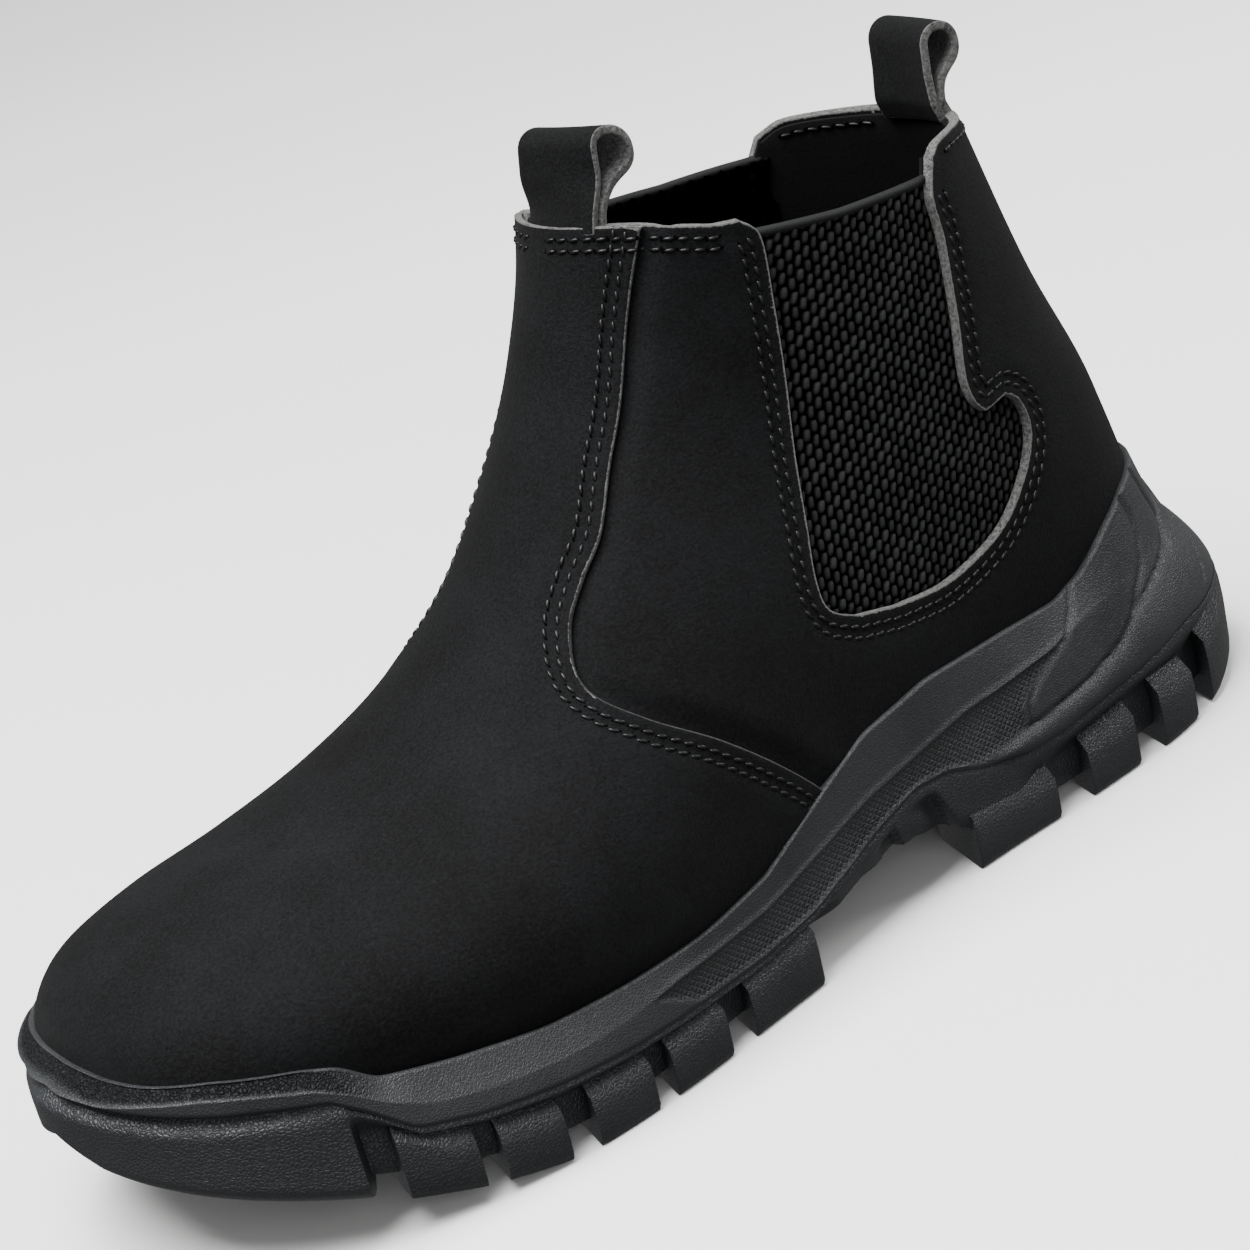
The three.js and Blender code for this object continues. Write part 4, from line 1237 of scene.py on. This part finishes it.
def wall_sculpture(way, z, x, panel, ridge_z):
    """How far the midsole's wall stands out from its plain slope."""
    toe = 1 - smoothstep(x, -122, -112)
    middle = smoothstep(x, -52, -40) * (1 - smoothstep(x, 78, 92))
    heel_side = smoothstep(x, 52, 62)
    out = -0.75 * panel
    out += 0.4 * middle * bump(z - knee, 0.8)
    out -= 0.55 * toe * smoothstep(z, knee + 0.1, knee + 0.7)
    roll = np.clip((z - belt) / np.maximum(ridge_z - belt, 1), 0, 1)
    out += heel_side * 1.1 * np.sin(math.pi * roll) ** 0.8 * (z < ridge_z)
    out -= heel_side * 0.6 * bump(z - ridge_z, 0.6)
    out -= 0.5 * bump(line_gap(PILLAR, way, z), 0.6)
    behind = behind_pillar(way, z)
    out += 0.4 * smoothstep(behind, 0, 1.5) * (1 - smoothstep(behind, 6, 26)) * (z > ridge_z) * (z > 24)
    for crease in HEEL_CREASES:
        out -= 0.75 * bump(line_gap(crease, way, z), 0.9)
    groove = np.interp(x, [-152, -128, -114, -100], [2.8, 2.0, 0.6, 0.5])
    groove_width = np.interp(x, [-152, -128, -114], [1.3, 1.0, 0.6])
    return out - groove * bump(z - belt, groove_width)


def build_midsole():
    """Side wall of the midsole, from the joint with the outsole up to the lip on the leather."""
    t_low = np.linspace(0, 1, 24)[:, None]
    t_high = np.linspace(0, 1, 26)[1:, None]
    z = np.concatenate([belt + (knee - belt) * t_low, knee + (rim_height - knee) * t_high])
    lower = 0.04 + (knee_share - 0.04) * t_low**1.3
    upper = knee_share + (1 - knee_share) * t_high**0.95
    way = np.broadcast_to(station, z.shape)
    x = np.broadcast_to(wall_x, z.shape)
    ridge = along_wall(HEEL_RIDGE)
    ridge_z = np.interp(way, ridge[:, 0], ridge[:, 1])
    panel = panel_mask(way, z, x) * np.where(x > 50, smoothstep(z - ridge_z, 0.3, 1.1), 1)
    inwards = np.concatenate([lower, upper]) * lean_in - wall_sculpture(way, z, x, panel, ridge_z)
    lip = np.stack([lean_in + 0.35, lean_in + 1.0, lean_in + 1.9, lean_in + 8])
    lip_z = np.stack([rim_height + 0.25, rim_height + 0.3, rim_height - 0.1, rim_height - 2.5])
    rows_in = np.concatenate([np.full((1, STATIONS), 14.0), inwards, lip])
    rows_z = np.concatenate([belt[None] + 1, z, lip_z])
    faces = grid_faces(len(rows_z), STATIONS, True)
    made = add_object("midsole", wall_place(rows_in, rows_z), faces, [POLYURETHANE])
    band = (1 - smoothstep(x, -116, -104)) * smoothstep(z, knee, knee + 0.6)
    for name, mask in (("knurl", panel), ("band", band)):
        store(made, name, np.pad(mask, ((1, len(lip)), (0, 0))).ravel())
    map_wall(made, np.broadcast_to(station, rows_z.shape), rows_z)
    close_ends(made)
    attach(made, "boot")
    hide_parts("midsole")


def map_wall(made, way, z):
    """UV map of a wall in millimetres: along it, and up."""
    layer = made.data.uv_layers.new(name="wall")
    corners = np.stack([way.ravel(), z.ravel()], -1)[[loop.vertex_index for loop in made.data.loops]]
    layer.data.foreach_set("uv", corners.astype(np.float32).ravel())


def close_ends(made):
    """Closes a swept wall at its first and last rings, inside the boot."""
    count = len(made.data.vertices)
    mesh = bmesh.new()
    mesh.from_mesh(made.data)
    mesh.verts.ensure_lookup_table()
    first = [mesh.verts[i] for i in range(STATIONS)]
    last = [mesh.verts[count - STATIONS + i] for i in range(STATIONS)]
    for ring in (first, last):
        for i in range(STATIONS // 2):
            corners = [ring[i], ring[i + 1], ring[STATIONS - i - 1], ring[(STATIONS - i) % STATIONS]]
            corners = list(dict.fromkeys(corners))
            if len(corners) > 2:
                mesh.faces.new(corners)
    bmesh.ops.recalc_face_normals(mesh, faces=mesh.faces)
    mesh.to_mesh(made.data)
    mesh.free()
    soften(made, 60)


WEB_HEIGHT = 4.2  # height above the ground of the wall that joins the blocks


def outsole_wall(bottom):
    """Rows of the outsole's wall, from the joint down to bottom: how far inwards, and how high."""
    x = wall_x
    bumper = 1 - smoothstep(x, BUMPER_END - 0.5, BUMPER_END + 0.5)
    z = belt - 0.02 + (bottom - belt) * np.linspace(0, 1, 30)[:, None]
    drop = smoothstep(belt - 1 - z, 0, np.maximum(belt - 2 - wall_height(LUG_TOP), 1.5))
    arch = smoothstep(x, -3, 6) * (1 - smoothstep(x, 58, 74))
    recess = 4.2 * drop * (1 - 0.9 * arch) + 0.4
    rounding = 4.0 * np.clip(1 - (z - bottom) / 5.0, 0, 1) ** 2.2
    inwards = bumper * rounding + (1 - bumper) * (recess + 0.25 * rounding)
    groove = np.interp(x, [-152, -128, -114, -100], [2.8, 2.2, 0.9, 0.3])
    groove_width = np.interp(x, [-152, -128, -118, -113], [1.5, 1.7, 2.0, 0.6])
    inwards += groove * bump(z - belt, groove_width)
    for rib in ARCH_RIBS:
        curve = rib + 0.45 * (19 - z)
        notch = smoothstep(x, curve - 9, curve) * (1 - smoothstep(x, curve, curve + 0.8))
        inwards += 2.6 * notch * smoothstep(belt - z, 2, 4.5)
    return inwards, z


def build_outsole():
    """Outsole: the toe bumper, the low wall above the blocks, the underside and the tread blocks."""
    treads = 1 - smoothstep(wall_x, -8, -2) + smoothstep(wall_x, 44, 50)
    bottom = wall_height(UNDERSIDE, 0.4)
    bottom += (np.minimum(wall_height(TREAD_LINE) + WEB_HEIGHT, bottom) - bottom) * treads
    inwards, z = outsole_wall(bottom)
    rings = [wall_place(np.full((1, STATIONS), 16.0), belt[None] - 0.5), wall_place(inwards, z)]
    edge = plan - plan_normal * inwards[-1][:, None]
    spine = np.stack([np.clip(edge[:, 0], -138, 138), np.full(STATIONS, CENTRE_Y)], -1)
    for share in (0.12, 0.3, 0.55, 0.8, 1.0):
        spot = edge + (spine - edge) * share
        level = bottom + (height(UNDERSIDE, spot[:, 0]) - bottom) * min(1, share * 4)
        rings.append(np.concatenate([spot, level[:, None]], -1))
    points = np.concatenate(rings)
    made = add_object("outsole_body", points, grid_faces(len(points) // STATIONS, STATIONS, True), [RUBBER])
    close_ends(made)
    merge_doubles(made)
    pieces = [made] + [edge_lug(span, side) for span in EDGE_LUGS for side in (-1, 1)]
    pieces += [rear_lug(side) for side in (-1, 1)]
    pieces += [middle_lug(span) for span in MIDDLE_LUGS]
    made = join("outsole", pieces)
    soften(made, 45)
    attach(made, "boot")
    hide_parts("outsole")


def lug_block(name, outer, normals, inner, tops):
    """A tread block. outer runs along the wall with its normals, and inner along the block's
    other side. Its outer face is undercut at the ground and chamfered at its top."""
    ground = height(TREAD_LINE, outer[:, 0])
    inner_ground = height(TREAD_LINE, inner[:, 0])
    roof = height(UNDERSIDE, outer[:, 0]) + 3
    levels = [  # inwards of the outer face, height
        (1.3, ground), (0.5, ground + 1.6), (0.05, ground + (tops - ground) * 0.7), (0.15, tops),
        (2.9, tops + 3.6), (6.0, np.maximum(tops + 3.7, roof)),
    ]
    back_root = height(UNDERSIDE, inner[:, 0]) + 2
    backs = [(inner + (outer - inner) * (0.7 / LUG_DEPTH), inner_ground)]
    backs += [(inner, np.minimum(z, back_root)) for _, z in levels[1:]]
    rings = []
    for (inwards, z), (back, back_z) in zip(levels, backs):
        face = np.concatenate([outer - normals * inwards, z[:, None]], -1)
        rings.append(np.concatenate([face, np.concatenate([back, back_z[:, None]], -1)[::-1]]))
    count = len(rings[0])
    faces = grid_faces(len(rings), count, True)
    for base, way_round in ((0, -1), ((len(rings) - 1) * count, 1)):
        faces += [
            (base + i, base + i + 1, base + count - 2 - i, base + count - 1 - i)[::way_round]
            for i in range(len(outer) - 1)
        ]
    made = add_object(name, np.concatenate(rings), faces, [RUBBER])
    merge_doubles(made)
    round_edges(made, 0.55, 38)
    return made


def wall_span(start, end, side, count):
    """Points and normals of the plan between two x values on one side, evenly spaced."""
    use = np.where(np.sign(plan[:, 1] - CENTRE_Y) == side)[0]
    use = use[np.argsort(plan[use, 0])]
    x = np.linspace(start, end, count)
    points = np.stack([x, np.interp(x, plan[use, 0], plan[use, 1])], -1)
    normals = np.stack([np.interp(x, plan[use, 0], plan_normal[use, k]) for k in (0, 1)], -1)
    return points, normals / np.linalg.norm(normals, axis=1, keepdims=True)


def edge_lug(span, side):
    """A block along the side, which leans to the heel as it runs inwards."""
    outer, normals = wall_span(span[0], span[1], side, 7)
    inner = outer + np.array([LUG_SKEW, -side * LUG_DEPTH])
    inner[:, 1] = inner[:, 1].mean()
    return lug_block("edge_lug", outer, normals, inner, height(LUG_TOP, outer[:, 0]))


def rear_lug(side):
    """The last block on each side turns round the back of the heel."""
    use = np.where((np.sign(plan[:, 1] - CENTRE_Y) == side) & (plan[:, 0] > REAR_LUG))[0]
    use = use[np.abs(plan[use, 1] - CENTRE_Y) > 2.2]
    use = use[np.argsort(-np.abs(plan[use, 1] - CENTRE_Y))]
    use = use[np.linspace(0, len(use) - 1, 15).astype(int)]
    outer, normals = plan[use], plan_normal[use]
    inner = np.linspace([128, CENTRE_Y + side * 12], [136, CENTRE_Y + side * 2], len(use))
    return lug_block("rear_lug", outer, normals, inner, height(LUG_TOP, outer[:, 0]) + 2)


def middle_lug(span):
    """Chevron bar across the middle of the tread."""
    points = []
    for shrink, rise in ((0.6, 0), (0, 1.2), (0, None)):
        start, end = span[0] + shrink, span[1] - shrink
        half = MIDDLE_HALF - shrink
        for x, y in (
            (start, -half), (end, -half), (end - CHEVRON, 0),
            (end, half), (start, half), (start - CHEVRON, 0),
        ):
            z = height(UNDERSIDE, x) + 2 if rise is None else height(TREAD_LINE, x) + rise
            points.append([x, y + CENTRE_Y, z])
    faces = grid_faces(3, 6, True) + [(5, 4, 3, 2), (5, 2, 1, 0), (12, 13, 14, 15), (12, 15, 16, 17)]
    made = add_object("middle_lug", points, faces, [RUBBER])
    merge_doubles(made)
    round_edges(made, 0.5, 38)
    return made


# ---------------------------------------------------------------------------
# Inside
# ---------------------------------------------------------------------------
def build_footbed():
    """Loose foam footbed: the frame's solid, rounded and covered in textile."""
    made = nodes["footbed"].copy()
    made.data = made.data.copy()
    made.name = "footbed_cushion"
    made.parent = None
    for key in list(made.keys()):
        del made[key]
    bpy.context.scene.collection.objects.link(made)
    made.data.materials.clear()
    made.data.materials.append(FOAM_COVER)
    merge_doubles(made)
    apply(made, "REMESH", mode="VOXEL", voxel_size=1.6 * MM)
    apply(made, "SMOOTH", factor=0.5, iterations=8)
    made.data.polygons.foreach_set("use_smooth", [True] * len(made.data.polygons))
    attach(made, "boot")
    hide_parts("footbed")


def finish_inner_nodes():
    """The pieces that stay as the frame has them get their own finishes."""
    finishes = {
        "steel_toe_cap": plain("phosphated_carbon_steel", "#4b4d50", "#6a6c6e", 0.42, 1.0, 2.0, 0.03),
        "steel_shank": plain("spring_steel", "#6d6f72", "#85878a", 0.35, 1.0, 3.0, 0.02),
        "toe_cap_trim": plain("soft_pvc_trim", "#232527", "#313437", 0.55),
        "heel_counter": plain("thermoplastic_counter_sheet", "#b5ad98", "#cbc3ae", 0.7),
        "insole_board": plain("pressed_cellulose_board", "#7d7361", "#978b76", 0.9),
        "bottom_filler": plain("cork_granulate", "#5f452c", "#9a7448", 0.95, grain=2.5, depth=0.4),
    }
    for name, material in finishes.items():
        nodes[name].data.materials.clear()
        nodes[name].data.materials.append(material)


# ---------------------------------------------------------------------------
# Stage
# ---------------------------------------------------------------------------
def build_stage():
    """Plain pale floor under an even white sky. The floor throws no light back onto the black leather."""
    bpy.ops.mesh.primitive_plane_add(size=12, location=(0, 0, 0))
    floor = bpy.context.active_object
    floor.name = "studio_floor"
    material, tree, shader = new_material("pale_studio_paper")
    tone = noise(tree, object_space(tree), 400, 1)
    tree.links.new(ramp(tree, tone, "#f0f0ef", "#f4f4f3"), shader.inputs["Base Color"])
    shader.inputs["Roughness"].default_value = 0.9
    floor.data.materials.append(material)
    floor.visible_diffuse = False
    floor.visible_glossy = False
    world = bpy.data.worlds.new("studio")
    world.use_nodes = True
    world.node_tree.nodes["Background"].inputs["Color"].default_value = (1, 1, 1, 1)
    world.node_tree.nodes["Background"].inputs["Strength"].default_value = 0.32
    bpy.context.scene.world = world


def add_light(name, place, target, size, power):
    """Square soft light at a place, turned towards a target."""
    light = bpy.data.lights.new(name, "AREA")
    light.size = size
    light.energy = power
    made = bpy.data.objects.new(name, light)
    made.location = place
    made.rotation_euler = (Vector(target) - Vector(place)).to_track_quat("-Z", "Y").to_euler()
    bpy.context.scene.collection.objects.link(made)


CAMERA_PLACE = Vector((-0.3625, -0.6155, 0.3576))
CAMERA_LOOK = Vector((0.47063, 0.80024, -0.37165))
CAMERA_UP = Vector((0.41796, 0.16877, 0.89265))
CAMERA_LENS = 107.1  # with a 36 mm sensor


def build_camera():
    """The boot seen from its outer side, a little from the toe and from above, tipped on its heel."""
    data = bpy.data.cameras.new("camera")
    data.lens = CAMERA_LENS
    data.sensor_width = 36
    made = bpy.data.objects.new("camera", data)
    back = -CAMERA_LOOK.normalized()
    right = CAMERA_UP.cross(back).normalized()
    up = back.cross(right)
    made.matrix_world = Matrix.Translation(CAMERA_PLACE) @ Matrix((right, up, back)).transposed().to_4x4()
    bpy.context.scene.collection.objects.link(made)
    bpy.context.scene.camera = made


build_camera()
build_stage()
add_light("top_softbox", (-0.5, -0.1, 1.6), (-0.02, 0, 0), 1.2, 100)
add_light("fill", (-0.5, -1.6, 0.6), (0, 0, 0.06), 1.2, 10)
add_light("heel_light", (1.1, -0.25, 0.7), (0.1, 0, 0.1), 0.6, 10)

build_vamp()
build_quarter("quarter_left", 1)
build_quarter("quarter_right", -1)
build_back_strip()
build_lining()
build_gore("gore_left", 1)
build_gore("gore_right", -1)
build_stitching()
build_tab("front_pull_tab", "front_tab_bend", 15, 17, 0.0192, -2.5, 13)
build_tab("rear_pull_tab", "rear_tab_bend", 3, -20, -0.0136, 0, -4)
build_midsole()
build_outsole()
build_footbed()
finish_inner_nodes()
